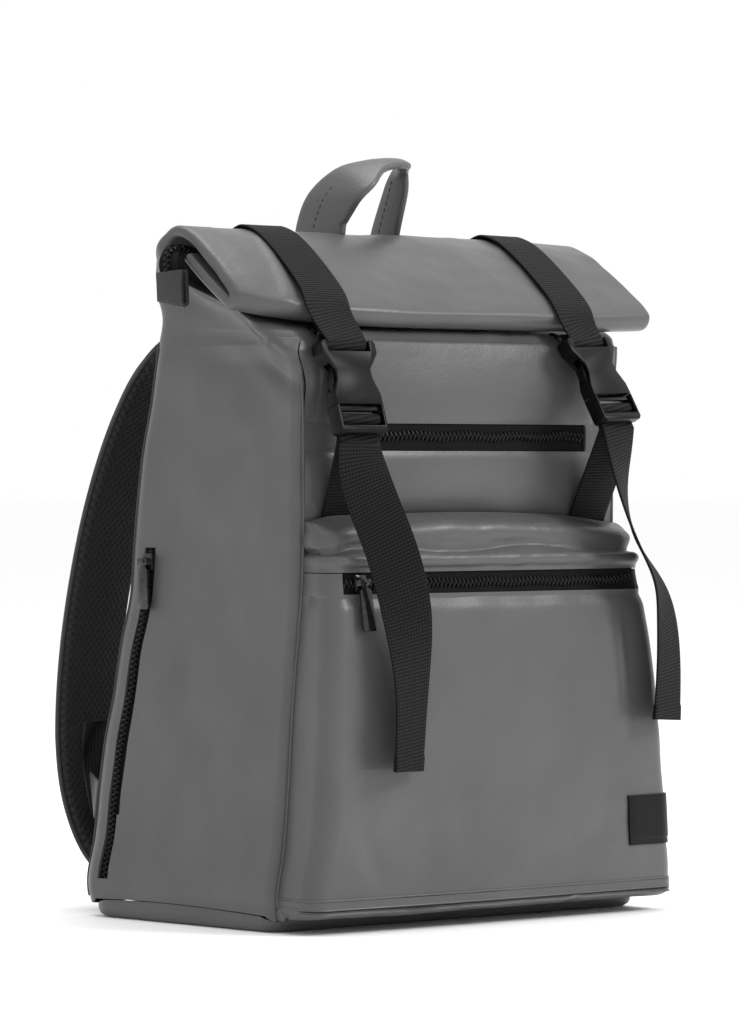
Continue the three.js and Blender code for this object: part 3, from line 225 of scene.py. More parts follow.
def leather_look(base, rough, grain, contrast=.12):
    def build(node, link, shader):
        where = node("TexCoord").outputs["Object"]
        wide = node("TexNoise", {"Vector": where, "Scale": 14.0, "Detail": 3.0}).outputs["Fac"]
        fine = node("TexNoise", {"Vector": where, "Scale": 900.0, "Detail": 3.0}).outputs["Fac"]
        cell = node("TexVoronoi", {"Vector": where, "Scale": 620.0}, feature="SMOOTH_F1").outputs["Distance"]
        blend = math_node(node, "ADD", math_node(node, "MULTIPLY", wide, .7),
                          math_node(node, "MULTIPLY", fine, .3))
        ramp = node("ValToRGB", {"Fac": blend})
        for k, share in ((0, 1 - contrast), (1, 1 + contrast)):
            ramp.color_ramp.elements[k].position = .3 + .4 * k
            ramp.color_ramp.elements[k].color = (*(c * share for c in base), 1)
        link(ramp.outputs["Color"], "Base Color")
        rough_map = node("MapRange", {"Value": blend, "From Min": .3, "From Max": .7, "To Min": rough + .07,
                                      "To Max": rough - .07})
        link(rough_map.outputs[0], "Roughness")
        height = math_node(node, "ADD", math_node(node, "MULTIPLY", cell, .8),
                           math_node(node, "MULTIPLY", fine, .5))
        bump = node("Bump", {"Height": height, "Strength": .45, "Distance": grain})
        slow = node("TexNoise", {"Vector": where, "Scale": 60.0, "Detail": 2.0}).outputs["Fac"]
        both = node("Bump", {"Height": slow, "Strength": .3, "Distance": .0012, "Normal": bump.outputs[0]})
        link(both.outputs[0], "Normal")
        shader.inputs["Specular IOR Level"].default_value = .42
    return build


# Woven cloth whose raised threads are painted lighter than its dips: partly the weave's own pattern, partly
# painted highlight on the thread tops.
def weave_look(dark, light, pitch, row, bumpy=.0005, rough=.62):
    def build(node, link, shader):
        uv = node("SeparateXYZ", {0: node("UVMap", uv_map="UVMap").outputs[0]})
        across = math_node(node, "MULTIPLY", uv.outputs[0], 1 / pitch)
        cell = math_node(node, "FLOOR", across)
        along = math_node(node, "ADD", math_node(node, "MULTIPLY", uv.outputs[1], 1 / row),
                          math_node(node, "MULTIPLY", cell, .12))
        wave = [math_node(node, "ABSOLUTE", math_node(node, "SINE", math_node(node, "MULTIPLY", v, math.pi)))
                for v in (across, along)]
        lump = math_node(node, "MULTIPLY", math_node(node, "POWER", wave[0], .6),
                         math_node(node, "POWER", wave[1], 1.3))
        where = node("TexCoord").outputs["Object"]
        fuzz = node("TexNoise", {"Vector": where, "Scale": 1500.0}).outputs["Fac"]
        share = math_node(node, "MULTIPLY", lump, math_node(node, "ADD", fuzz, .45))
        # The light colour is painted highlight on the raised threads, the dark colour the weave's own black.
        ramp = node("ValToRGB", {"Fac": share})
        ramp.color_ramp.elements[0].color = (*dark, 1)
        ramp.color_ramp.elements[1].color = (*light, 1)
        link(ramp.outputs["Color"], "Base Color")
        rough_map = node("MapRange", {"Value": lump, "To Min": rough + .2, "To Max": rough})
        link(rough_map.outputs[0], "Roughness")
        link(node("Bump", {"Height": lump, "Strength": .8, "Distance": bumpy}).outputs[0], "Normal")
        shader.inputs["Specular IOR Level"].default_value = .15
    return build


def mesh_look(node, link, shader):
    uv = node("SeparateXYZ", {0: node("UVMap", uv_map="UVMap").outputs[0]})
    a = math_node(node, "MULTIPLY", math_node(node, "ADD", uv.outputs[0], uv.outputs[1]), math.pi / 5.2)
    b = math_node(node, "MULTIPLY", math_node(node, "SUBTRACT", uv.outputs[0], uv.outputs[1]), math.pi / 5.2)
    wave = [math_node(node, "ABSOLUTE", math_node(node, "SINE", v)) for v in (a, b)]
    hole = math_node(node, "MULTIPLY", *wave)
    where = node("TexCoord").outputs["Object"]
    fine = node("TexVoronoi", {"Vector": where, "Scale": 1100.0}).outputs["Distance"]
    share = math_node(node, "MULTIPLY", math_node(node, "SUBTRACT", 1.0, hole),
                      math_node(node, "ADD", fine, .3))
    ramp = node("ValToRGB", {"Fac": share})
    ramp.color_ramp.elements[0].color = (.001, .001, .0012, 1)
    ramp.color_ramp.elements[1].color = (.016, .016, .017, 1)
    link(ramp.outputs["Color"], "Base Color")
    shader.inputs["Roughness"].default_value = .85
    height = math_node(node, "SUBTRACT", math_node(node, "MULTIPLY", fine, .3), hole)
    link(node("Bump", {"Height": height, "Strength": .8, "Distance": .0008}).outputs[0], "Normal")


def hard_look(base, rough, metal, scale, bumpy):
    def build(node, link, shader):
        where = node("TexCoord").outputs["Object"]
        fine = node("TexNoise", {"Vector": where, "Scale": scale, "Detail": 3.0}).outputs["Fac"]
        ramp = node("ValToRGB", {"Fac": fine})
        for k, share in ((0, .8), (1, 1.25)):
            ramp.color_ramp.elements[k].position = .35 + .3 * k
            ramp.color_ramp.elements[k].color = (*(c * share for c in base), 1)
        link(ramp.outputs["Color"], "Base Color")
        rough_map = node("MapRange", {"Value": fine, "To Min": rough - .08, "To Max": rough + .08})
        link(rough_map.outputs[0], "Roughness")
        shader.inputs["Metallic"].default_value = metal
        shader.inputs["Specular IOR Level"].default_value = .12
        link(node("Bump", {"Height": fine, "Strength": .25, "Distance": bumpy}).outputs[0], "Normal")
    return build


GREY = (.064, .0665, .0645)
LEATHER_MAT = material("grey_leather", leather_look(GREY, .38, .0002))
PIPING_MAT = material("dark_piping", leather_look((.03, .031, .03), .5, .00018))
BLACK_LEATHER = material("black_leather", leather_look((.004, .004, .0045), .42, .0003))
for mat, level in ((BLACK_LEATHER, .12), (PIPING_MAT, .2)):
    mat.node_tree.nodes["Principled BSDF"].inputs["Specular IOR Level"].default_value = level
# The lighter colours of these weaves are painted highlight on their thread tops.
WEBBING = material("webbing", weave_look((.0012, .0012, .0012), (.0125, .0127, .0133), 1.95, 2.0))
TAPE = material("zip_tape", weave_look((.0015, .0015, .0015), (.006, .006, .0065), .8, 1.0, .0002, .75))
RIBBED = material("ribbed_webbing", weave_look((.002, .002, .002), (.02, .02, .021), 3.2, 40, .0008))
MESH = material("air_mesh", mesh_look)
PLASTIC = material("buckle_plastic", hard_look((.0022, .0022, .0024), .36, 0, 900, .0001))
METAL = material("black_metal", hard_look((.05, .05, .052), .17, .85, 300, .00005))
STUD = material("stud_metal", hard_look((.35, .35, .36), .2, 1, 300, .00005))
COIL = material("zip_coil", hard_look((.009, .009, .0095), .26, 0, 500, .00005))
THREAD = material("thread", hard_look((.035, .035, .036), .6, 0, 2500, .0001))


# Meshes
def finish_piece(name, verts, faces, mat, body_name, uvs=None, nodes=()):
    """Makes the piece from millimetre vertices, parents it to the body's empty and hides the nodes it
    replaces.
    """
    mesh = bpy.data.meshes.new(name)
    mesh.from_pydata([tuple(v) for v in np.asarray(verts) / 1000], [], [tuple(f) for f in faces])
    mesh.materials.append(mat)
    if uvs is not None:
        layer = mesh.uv_layers.new(name="UVMap")
        index = np.zeros(len(mesh.loops), int)
        mesh.loops.foreach_get("vertex_index", index)
        layer.data.foreach_set("uv", np.asarray(uvs, float)[index].ravel())
    mesh.validate()
    piece = bpy.data.objects.new(name, mesh)
    bpy.context.scene.collection.objects.link(piece)
    mesh.shade_smooth()
    mesh.set_sharp_from_angle(angle=math.radians(50))
    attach(piece, body_name)
    if nodes:
        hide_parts(*nodes)
    return piece


def normals_of(p):
    du, dv = np.gradient(p, axis=0), np.gradient(p, axis=1)
    n = np.cross(du, dv)
    return n / np.maximum(np.linalg.norm(n, axis=-1, keepdims=True), 1e-9)


def sheet(name, outer, inner, mat, nodes=(), holes=None, is_round=False, uv=None):
    """A closed cloth between two grids, with the named cells left open."""
    nu, nv = outer.shape[:2]
    spans = nu if is_round else nu - 1
    keep = np.ones((spans, nv - 1), bool) if holes is None else ~holes
    at = lambda i, j, far=0: far * nu * nv + (i % nu) * nv + j
    faces = []
    for i in range(spans):
        for j in range(nv - 1):
            if not keep[i, j]:
                continue
            a, b, c, d = at(i, j), at(i + 1, j), at(i + 1, j + 1), at(i, j + 1)
            faces.append((a, b, c, d))
            e, f, g, h = (v + nu * nv for v in (a, b, c, d))
            faces.append((e, h, g, f))
            left = keep[(i - 1) % spans, j] if (is_round or i > 0) else False
            right = keep[(i + 1) % spans, j] if (is_round or i < spans - 1) else False
            if not left:
                faces.append((a, d, h, e))
            if not right:
                faces.append((b, f, g, c))
            if j == 0 or not keep[i, j - 1]:
                faces.append((a, e, f, b))
            if j == nv - 2 or not keep[i, j + 1]:
                faces.append((d, c, g, h))
    verts = np.concatenate([outer.reshape(-1, 3), inner.reshape(-1, 3)])
    uvs = None
    if uv is not None:
        uvs = np.concatenate([uv.reshape(-1, 2)] * 2)
    return finish_piece(name, verts, faces, mat, "bag", uvs, nodes)


def panel(name, surface, us, vs, thick, lift, mat, nodes=(), hole=None, uv=None, bend=None):
    """A cloth laid on a surface, lifted along its normals and bent in space."""
    u, v = np.meshgrid(us, vs, indexing="ij")
    base = surface(u, v)
    n = normals_of(base)
    outer = base + n * lift(u, v, base)[..., None]
    if bend is not None:
        outer = outer + bend(base)
    holes = None
    if hole is not None:
        middle = (base[1:, 1:] + base[:-1, :-1] + base[1:, :-1] + base[:-1, 1:]) / 4
        holes = hole(middle)
    return sheet(name, outer, outer - normals_of(outer) * thick, mat, nodes, holes,
                 uv=None if uv is None else uv(u, v, base))


def resample(path, count):
    """Even points on a smooth curve through the path, with their places in it and distances along it."""
    p = np.asarray(path, float)
    d = np.r_[0, np.cumsum(np.linalg.norm(np.diff(p, axis=0), axis=1))]
    t = np.linspace(0, d[-1], count)
    place = np.interp(t, d, range(len(p)))
    return place, np.stack([smooth(p[:, k], place) for k in range(3)], -1), t


def ribbon(name, path, across, width, thick, mat, nodes=(), step=2.0, edge=None, crown=0, slanted=False,
           hem_turn=0):
    """A strip along a path with rounded edges, and a turned-over end where hem_turn gives its length."""
    p = np.asarray(path, float)
    length = np.linalg.norm(np.diff(p, axis=0), axis=1).sum()
    place, q, t = resample(p, max(8, int(length / step)))
    side = np.stack([np.interp(place, range(len(p)), np.asarray(across, float)[:, k]) for k in range(3)], -1)
    wide = np.interp(place, range(len(p)), np.broadcast_to(np.asarray(width, float), len(p)))
    along = np.gradient(q, axis=0)
    along /= np.linalg.norm(along, axis=1, keepdims=True)
    if not slanted:
        side = side - along * (side * along).sum(1, keepdims=True)
    side /= np.linalg.norm(side, axis=1, keepdims=True)
    face = np.cross(along, side)
    face /= np.linalg.norm(face, axis=1, keepdims=True)
    edge = thick / 2 if edge is None else edge
    ring = []
    half_t = thick / 2
    for sign in (1, -1):
        for s in np.linspace(-1, 1, 13):
            ring.append((-sign * s, sign, 0))
        for a in (30, 60, 90, 120, 150):
            ring.append((-sign, sign, a))
    verts, uvs, faces = [], [], []
    count = len(ring)
    tall = np.full(len(q), half_t)
    if hem_turn:
        tall = half_t * (1 + .8 * (t > t[-1] - hem_turn))
    for k in range(len(q)):
        for s, sign, a in ring:
            w = wide[k] / 2
            if a == 0:
                u = s * (w - edge)
                v = sign * (tall[k] + crown * (1 - s * s))
            else:
                u = s * (w - edge + edge * math.sin(math.radians(a)))
                v = sign * tall[k] * math.cos(math.radians(a))
            verts.append(q[k] + side[k] * u + face[k] * v)
            uvs.append((u + 50, t[k]))
    for k in range(len(q) - 1):
        for m in range(count):
            nxt = (m + 1) % count
            faces.append((k * count + m, (k + 1) * count + m, (k + 1) * count + nxt, k * count + nxt))
    faces.append(tuple(range(count)))
    faces.append(tuple(reversed(range((len(q) - 1) * count, len(q) * count))))
    return finish_piece(name, verts, faces, mat, "bag", uvs, nodes)


def tube(name, path, radius, mat, count=8):
    """A round cord along a path."""
    p = np.asarray(path, float)
    along = np.gradient(p, axis=0)
    along /= np.linalg.norm(along, axis=1, keepdims=True)
    up = np.array([.31, .23, .92])
    side = np.cross(along, up)
    side /= np.linalg.norm(side, axis=1, keepdims=True)
    other = np.cross(along, side)
    verts = [p[k] + radius * (side[k] * math.cos(a) + other[k] * math.sin(a))
             for k in range(len(p)) for a in np.linspace(0, 2 * math.pi, count, endpoint=False)]
    faces = [(k * count + m, (k + 1) * count + m, (k + 1) * count + (m + 1) % count,
              k * count + (m + 1) % count) for k in range(len(p) - 1) for m in range(count)]
    faces += [tuple(range(count)), tuple(reversed(range((len(p) - 1) * count, len(p) * count)))]
    return finish_piece(name, verts, faces, mat, "bag")


def stitches(name, path, normals, mat, long=3.0, gap=1.4, radius=.35, lift=.12):
    """Short rounded stitches along a line of points, half sunk in what they are sewn to."""
    p = np.asarray(path, float) + np.asarray(normals, float) * lift
    d = np.r_[0, np.cumsum(np.linalg.norm(np.diff(p, axis=0), axis=1))]
    verts, faces = [], []
    n = np.asarray(normals, float)
    for start in np.arange(.5, d[-1] - long, long + gap):
        mid = [np.array([np.interp(start + s * long, d, p[:, k]) for k in range(3)]) for s in (0, .5, 1)]
        along = mid[2] - mid[0]
        along /= np.linalg.norm(along)
        up = np.array([np.interp(start, d, n[:, k]) for k in range(3)])
        side = np.cross(along, up)
        base = len(verts)
        for m, fat in zip(mid, (.35, 1, .35)):
            for a in (0, 60, 120, 180, 240, 300):
                r = math.radians(a)
                verts.append(m + radius * fat * (side * math.cos(r) + up * math.sin(r)))
        for k in range(2):
            for m in range(6):
                faces.append((base + 6 * k + m, base + 6 * k + (m + 1) % 6, base + 6 * k + 6 + (m + 1) % 6,
                              base + 6 * k + 6 + m))
        faces.append(tuple(base + m for m in reversed(range(6))))
        faces.append(tuple(base + 12 + m for m in range(6)))
    return finish_piece(name, verts, faces, mat, "bag")


def coil(name, path, ups, sides, half=2.6, pitch=3.2):
    """Two rows of interlocked coil turns along a zip, seen from its face."""
    p, ups, sides = (np.asarray(v, float) for v in (path, ups, sides))
    d = np.r_[0, np.cumsum(np.linalg.norm(np.diff(p, axis=0), axis=1))]
    at = lambda rows, s: np.array([np.interp(s, d, rows[:, k]) for k in range(3)])
    verts, faces = [], []
    for n, s in enumerate(np.arange(.8, d[-1] - .8, pitch / 2)):
        hand = 1 if n % 2 else -1
        mid, up, side = at(p, s), at(ups, s), at(sides, s) * hand
        along = np.cross(up, side)
        base = len(verts)
        spots = ((-.25, .7, .55), (.3, 1.4, .8), (.95, 1.0, .62), (1.05, .2, .45))
        for w, h, r in spots:
            c = mid + side * (w * half) + up * h + along * (hand * .9 * (w - .4))
            for a in range(0, 360, 60):
                x, y = math.cos(math.radians(a)) * r, math.sin(math.radians(a)) * r
                verts.append(c + along * x + up * y)
        for k in range(3):
            for m in range(6):
                faces.append((base + 6 * k + m, base + 6 * k + (m + 1) % 6, base + 6 * k + 6 + (m + 1) % 6,
                              base + 6 * k + 6 + m))
        faces.append(tuple(base + m for m in range(6)))
        faces.append(tuple(base + 18 + m for m in range(6)))
    return finish_piece(name, verts, faces, COIL, "bag")


def beveled(node, mat, body_name="bag", wide=.5):
    """The node's own shape with rounded edges."""
    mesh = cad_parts[node].data.copy()
    piece = bpy.data.objects.new(node + "_round", mesh)
    bpy.context.scene.collection.objects.link(piece)
    mesh.materials.clear()
    mesh.materials.append(mat)
    bpy.context.view_layer.objects.active = piece
    for kind, settings in (("WELD", {"merge_threshold": 1e-5}), ("DECIMATE", {"decimate_type": "DISSOLVE",
                           "angle_limit": math.radians(4)}),
                           ("BEVEL", {"width": wide / 1000, "segments": 2, "limit_method": "ANGLE",
                                      "angle_limit": math.radians(38), "use_clamp_overlap": True})):
        modifier = piece.modifiers.new(kind.lower(), kind)
        for key, value in settings.items():
            setattr(modifier, key, value)
    depsgraph = bpy.context.evaluated_depsgraph_get()
    made = bpy.data.meshes.new_from_object(piece.evaluated_get(depsgraph))
    piece.modifiers.clear()
    piece.data = made
    if made.has_custom_normals:
        made.attributes.remove(made.attributes["custom_normal"])
    made.shade_smooth()
    made.set_sharp_from_angle(angle=math.radians(35))
    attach(piece, body_name)
    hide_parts(node)
    return piece


# Body panels
def corner_fold(p):
    """Folds shared by the panels and the roll: the upper left corner's knuckle and the front's upper puff."""
    x, y, z = p[..., 0], p[..., 1], p[..., 2]
    near = np.clip((-x - 112) / 12, 0, 1) * bell(y, -66, 20)
    ridge = 11 * bell(z - .6 * (y + 82), 331, 6.5) - 5 * bell(z - .45 * (y + 82), 313, 7)
    puff = 3.2 * np.sin(math.pi * np.clip((z - 292) / 74, 0, 1)) ** .8
    puff = puff + np.clip((z - 338) * .5, 0, 3) * np.clip((351 - z) / 5, 0, 1)
    puff = puff * np.clip((132 - np.abs(x)) / 14, 0, 1) * np.clip((-y - 64) / 8, 0, 1)
    ease = -1.6 * bell(z, 338, 9) * np.sign(x) * np.clip((np.abs(x) - 125) / 12, 0, 1)
    return stack(ease - .85 * ridge * near, -.5 * ridge * near * np.clip((-y - 60) / 20, 0, 1) - puff, 0 * x)


def front_lift(u, z, p):
    x = p[..., 0]
    seam = 1 - np.abs(u)
    puff = 2.6 * np.sin(math.pi * np.clip((z - 236) / 38, 0, 1)) ** .7
    puff = puff * np.clip(seam / .1, 0, 1) ** .6
    crease = -1.6 * bell(x, -112 + (z - 300) * .12, 3.5) * bell(z, 318, 26)
    crease = crease - 1.3 * bell(x, 108, 3) * bell(z, 312, 30)
    line = np.clip((np.abs(z - 283) - 7) / .3, 0, 1) * (bell(z, 291.6, .9) + bell(z, 274.4, .9))
    uneven = .9 * waves(p, 42, 1) * np.clip(seam / .08, 0, 1)
    return (puff + crease - 1.1 * line + uneven) * np.clip((HEIGHT - z) / 8, 0, 1)


edge = 1 - .5 / SEAM
zs = np.unique(np.r_[np.linspace(9, 238, 40), np.linspace(238, 275, 22), np.linspace(275, 291, 9),
                     np.linspace(291, 337.7, 28)])
us = np.unique(np.r_[np.linspace(-edge, edge, 121), ZIP_LEFT / ZIP_FLAT, ZIP_RIGHT / ZIP_FLAT])


def front_surface(u, z):
    return body_surface(u, np.maximum(z, hem(u) + .5))


panel("front_cloth", front_surface, us, zs, LEATHER, front_lift, LEATHER_MAT, ["front_panel"],
      bend=corner_fold, hole=lambda m: (m[..., 2] > ZIP_LOW) & (m[..., 2] < ZIP_HIGH)
      & (m[..., 0] > ZIP_LEFT) & (m[..., 0] < ZIP_RIGHT))


def side_lift(u, z, p):
    y = p[..., 1]
    d = 1.3 * waves(p, 60, 3) + .7 * waves(p, 26, 4)
    seam = np.clip((np.abs(u) - 1) / .5, 0, 1) * np.clip((3.5 - np.abs(u)) / .5, 0, 1)
    d = d * seam
    d = d - 3.5 * bell(z - .55 * (y + 82), 300, 20) * bell(y, -30, 36) * seam
    d = d - 1.6 * bell(z + .4 * y, 262, 10) * bell(y, -50, 26)
    return d * np.clip((HEIGHT - z) / 12, 0, 1)


def side_panel(side):
    st = np.unique(np.r_[np.linspace(1.06, 2, 14), np.linspace(2, 3, 72), np.linspace(3, 3.48, 10)])
    st = side * st if side > 0 else -st[::-1]
    rows = np.linspace(0, 1, 140)
    surface = lambda u, v: body_surface(u, hem(u) + .5 + (337.8 - hem(u)) * v)
    hole = None
    if side < 0:
        def hole(m):
            back = body(m[..., 2])[1] - BR
            return ((m[..., 2] > SIDE_ZIP_LOW) & (m[..., 2] < SIDE_ZIP_HIGH)
                    & (m[..., 1] < back - 4) & (m[..., 1] > back - 14))
    name = "left" if side < 0 else "right"
    panel("side_cloth_" + name, surface, st, rows, LEATHER, lambda u, v, p: side_lift(u, p[..., 2], p),
          LEATHER_MAT, ["side_panel_" + name], hole, bend=corner_fold)


side_panel(-1)
side_panel(1)


def back_surface(at, share):
    st = np.where(at > 5, at - 10, at)
    return body_surface(st, hem(st) + .5 + (337.7 - hem(st)) * share)


# Two pads on the back, and how wide their edges are
PAD_IN, PAD_OUT, PAD_LOW, PAD_HIGH, PAD_EDGE = 8, 96, 40, 318, 9


def back_lift(at, share, p):
    x, z = np.abs(p[..., 0]), p[..., 2]
    pads = np.clip(np.minimum(np.minimum(np.abs(x - PAD_IN), np.abs(x - PAD_OUT)),
                              np.minimum(np.abs(z - PAD_LOW), np.abs(z - PAD_HIGH))) / PAD_EDGE, 0, 1)
    inside = (x < PAD_OUT) & (z > PAD_LOW) & (z < PAD_HIGH) & (x > PAD_IN)
    return np.where(inside, 3.2 * pads ** .5, 0) * .8 + .5 * waves(p, 40, 6)


back_us = np.unique(np.r_[np.linspace(3.52, 4, 12), np.linspace(4, 6, 110), np.linspace(6, 6.48, 12)])
panel("back_cloth", back_surface, back_us, np.linspace(0, 1, 110), LEATHER, back_lift, MESH,
      ["back_panel"], uv=lambda u, v, p: np.stack([p[..., 0], p[..., 2]], -1))

# Base tray
st = np.r_[np.linspace(-5, -1, 70)[:-1], np.linspace(-1, 1, 40), np.linspace(1, 5, 70)[1:-1]]
rings = []
TRAY = ((60, 0), (6, 0), (3, .4), (1, 2), (.2, 4.2), (0, 6), (0, None), (2, None), (2, 5.2), (8, 2), (60, 2))
for inset, z in TRAY:
    half, back = body(0)
    x, y = rounded(st, half - inset, -FRONT + inset, back - inset, FR + 6, BR + 6)
    rings.append(stack(x, y, hem(st) if z is None else z))
grid = np.stack(rings, 1)
count, rows = grid.shape[:2]
faces = [(i * rows + j, ((i + 1) % count) * rows + j, ((i + 1) % count) * rows + j + 1, i * rows + j + 1)
         for i in range(count) for j in range(rows - 1)]
faces += [tuple(i * rows for i in reversed(range(count))), tuple(i * rows + rows - 1 for i in range(count))]
finish_piece("base_cloth", grid.reshape(-1, 3), faces, LEATHER_MAT, "bag", None,
             ["base_panel"])


# Pocket
def pocket_lift(st, row, p):
    x, z = p[..., 0], p[..., 2]
    at = np.abs(st)
    d = 1.1 * waves(p, 55, 8) + .55 * waves(p, 22, 9)
    d = d - 1.8 * bell(x, 104, 7) * bell(z, 158, 30) + 1.2 * bell(x, 92, 8) * bell(z, 150, 34)
    d = d - 1.5 * bell(x + .5 * (z - 30), -96, 8) * bell(z, 40, 26)
    d = d - 1.2 * bell(z - .25 * x, 30, 8) * bell(x, 70, 30)
    d = d - 1.3 * bell(z, 190, 4)
    at_edges = np.clip((3 - at) / .4, 0, 1) * np.clip((row - 4) / .4, 0, 1)
    return d * at_edges * np.clip((9.2 - row) / .6, .25, 1)


wide_st = np.unique(np.r_[np.linspace(-3, -2, 22), np.linspace(-2, -1, 16), np.linspace(-1, 1, 110),
                          np.linspace(1, 2, 16), np.linspace(2, 3, 22)])


def in_zip(m):
    return (m[..., 0] > POCKET_ZIP_LEFT) & (m[..., 0] < POCKET_ZIP_RIGHT) & (m[..., 1] < -95)


panel("pocket_front_cloth", pocket_surface, wide_st,
      np.unique(np.r_[np.linspace(4.02, 9, 90), np.linspace(9, 10, 6)]), POCKET_LEATHER, pocket_lift,
      LEATHER_MAT, ["pocket_front"],
      hole=lambda m: in_zip(m) & (m[..., 2] > POCKET_TOP * POCK_H[9]))


def floor_lift(st, row, p):
    return .8 * waves(p, 30, 11) - 1.2 * bell(p[..., 0], 60, 5) * bell(row, 2.5, 1) + 1.4 * bell(row, 3, 1)


panel("pocket_floor_cloth", pocket_surface, wide_st, np.linspace(0, 3.97, 40), POCKET_LEATHER, floor_lift,
      LEATHER_MAT, ["pocket_floor"])


def hood_lift(st, row, p):
    x = p[..., 0]
    along = np.clip((row - 10) / .5, 0, 1) * np.clip((14 - row) / .3, 0, 1)
    d = 2.2 * bell(row, 10.8, .5) + 2.2 * bell(row, 12.7, .6)
    d = d - 2.4 * bell(row, 11.75 + .25 * np.sin(x / 19), .28)
    pinch = -1.8 * np.abs(np.sin((p[..., 2] - 205) / 4.6)) * bell(x, -124, 12)
    pinch = pinch - 2.4 * bell(x, 122, 5) * bell(row, 12, 1.2)
    d = d * (1 - .5 * bell(x, 60, 30)) + pinch
    return (d + .9 * waves(p, 28, 13) + .5 * waves(p, 11, 14)) * along


def hood_surface(st, row):
    p = pocket_surface(st, row)
    top = np.clip((row - 11) / 2, 0, 1)
    x = p[..., 0]
    p[..., 2] -= top * (6 * bell(x, 132, 42) + 4 * bell(x, -128, 14) - 1.5 * bell(x, -10, 60))
    return p


panel("pocket_hood_cloth", hood_surface, wide_st, np.linspace(10.05, 14, 60), POCKET_LEATHER, hood_lift,
      LEATHER_MAT, ["pocket_hood"])

# Collar and its roll
right = np.r_[np.linspace(0, .8, 40), np.linspace(.8, 1, 8)[1:], np.linspace(1, 2, 8)[1:],
              np.linspace(2, 3, 26)[1:], np.linspace(3, 4, 8)[1:], np.linspace(4, 4.98, 60)[1:]]
st = np.r_[right, 5, -right[1:][::-1]]
rows = np.linspace(0, 19, 250)
u, v = np.meshgrid(st, rows, indexing="ij")


def collar_folds(u, v, p):
    x = p[..., 0]
    at = np.abs(u)
    flap = np.clip((v - 6) / 3, 0, 1) * np.clip((13.5 - v) / 2, 0, 1)
    slant = x + 4.3 * (v - 9)
    up = flap * (.8 * np.sin(x / 17 + v) - 2.4 * bell(slant, -108, 3.2) + 2.0 * bell(slant, -115, 4))
    d = stack(0 * x, 0 * x, up * .6)
    gusset = bell(at, 2.6, .55) * bell(v, 2.9, 1.5) * (at > 1.2) * (at < 3.9)
    d[..., 0] -= np.sign(x) * 9 * gusset
    knuckle = bell(at, 1.6, .7) * bell(v, 1.2, 1.0) * (v > .02)
    d[..., 0] += np.sign(x) * 3.0 * knuckle * np.clip(v / .6, 0, 1)
    d[..., 1] -= 1.5 * knuckle * np.clip(v / .6, 0, 1)
    return d * np.clip(v / .4, 0, 1)[..., None]


def soften(grid, low, high, rounds):
    """Evens out rows low to high of a grid along its rows, so that a bend reads as cloth."""
    pick = (rows > low) & (rows < high)
    for _ in range(rounds):
        even = grid.copy()
        even[:, 1:-1] = (grid[:, :-2] + 2 * grid[:, 1:-1] + grid[:, 2:]) / 4
        grid[:, pick] = even[:, pick]
    return grid


outer = soften(collar_point(u, v, 0), 10.2, 15, 60)
shift = collar_folds(u, v, outer) + corner_fold(outer) * (v < 6)[..., None]
n = normals_of(outer)
fine = np.clip(v / .5, 0, 1) * np.clip((13 - v) / 2, 0, 1)
small = (.7 * waves(outer, 34, 17) + .35 * waves(outer, 13, 18)) * fine
LEFT_STRAP, RIGHT_STRAP = -104, 90  # where the webbing lies on the roll
straps_at = bell(outer[..., 0], LEFT_STRAP, 26) + bell(outer[..., 0], RIGHT_STRAP, 26)
small = np.where(straps_at > .3, np.minimum(small, 0), small)
inner = soften(collar_point(u, v, WALL), 10.2, 15, 60) + shift
outer[:, 0] += n[:, 0] * .15
outer[:, 0, 2] = 336.4
sheet("roll_cloth", outer + shift + n * small[..., None], inner, LEATHER_MAT, ["roll_collar"],
      is_round=True)


# Buckle frames and strap paths
def from_pocket(across, ahead, up):
    """A point in front of the bag, by shares of its width and the pocket's depth and height."""
    return SEAM * across, -FRONT - POCKET_DEPTH * ahead, POCKET_TOP * (1 + up)


BUCKLES = {
    "left": dict(foot=from_pocket(-.735, .805, .193), lean=0, pitch=17, turn=0, lip=-.752, ridge=-.622),
    "right": dict(foot=from_pocket(.657, 1.011, .227), lean=2, pitch=28, turn=8, lip=.6, ridge=.706)}


def turn_matrix(axis, angle):
    return Matrix.Rotation(math.radians(angle), 4, axis)


def buckle_frame(b):
    leaning = turn_matrix("Y", -b["lean"]) @ turn_matrix("X", -b["pitch"])
    return Matrix.Translation(b["foot"]) @ turn_matrix("Z", b["turn"]) @ leaning


ROWS_ON_ROLL = [4.5, 5, 5.5, 6, 7, 8, 9, 10, 11, 12, 12.5, 13]
LIFT = GAP + WEB_THICK / 2


def even_path(pts, acr, low, high, rounds):
    """A finer path whose stretch between points low and high bends like webbing."""
    place, q, _ = resample(np.array(pts), 160)
    ac = np.stack([np.interp(place, range(len(pts)), np.array(acr)[:, k]) for k in range(3)], -1)
    ac /= np.linalg.norm(ac, axis=1, keepdims=True)
    pick = (place > low) & (place < high)
    pick[0] = pick[-1] = False
    for _ in range(rounds):
        for grid in (q, ac):
            even = (np.roll(grid, 1, 0) + 2 * grid + np.roll(grid, -1, 0)) / 4
            grid[pick] = even[pick]
    return q, ac


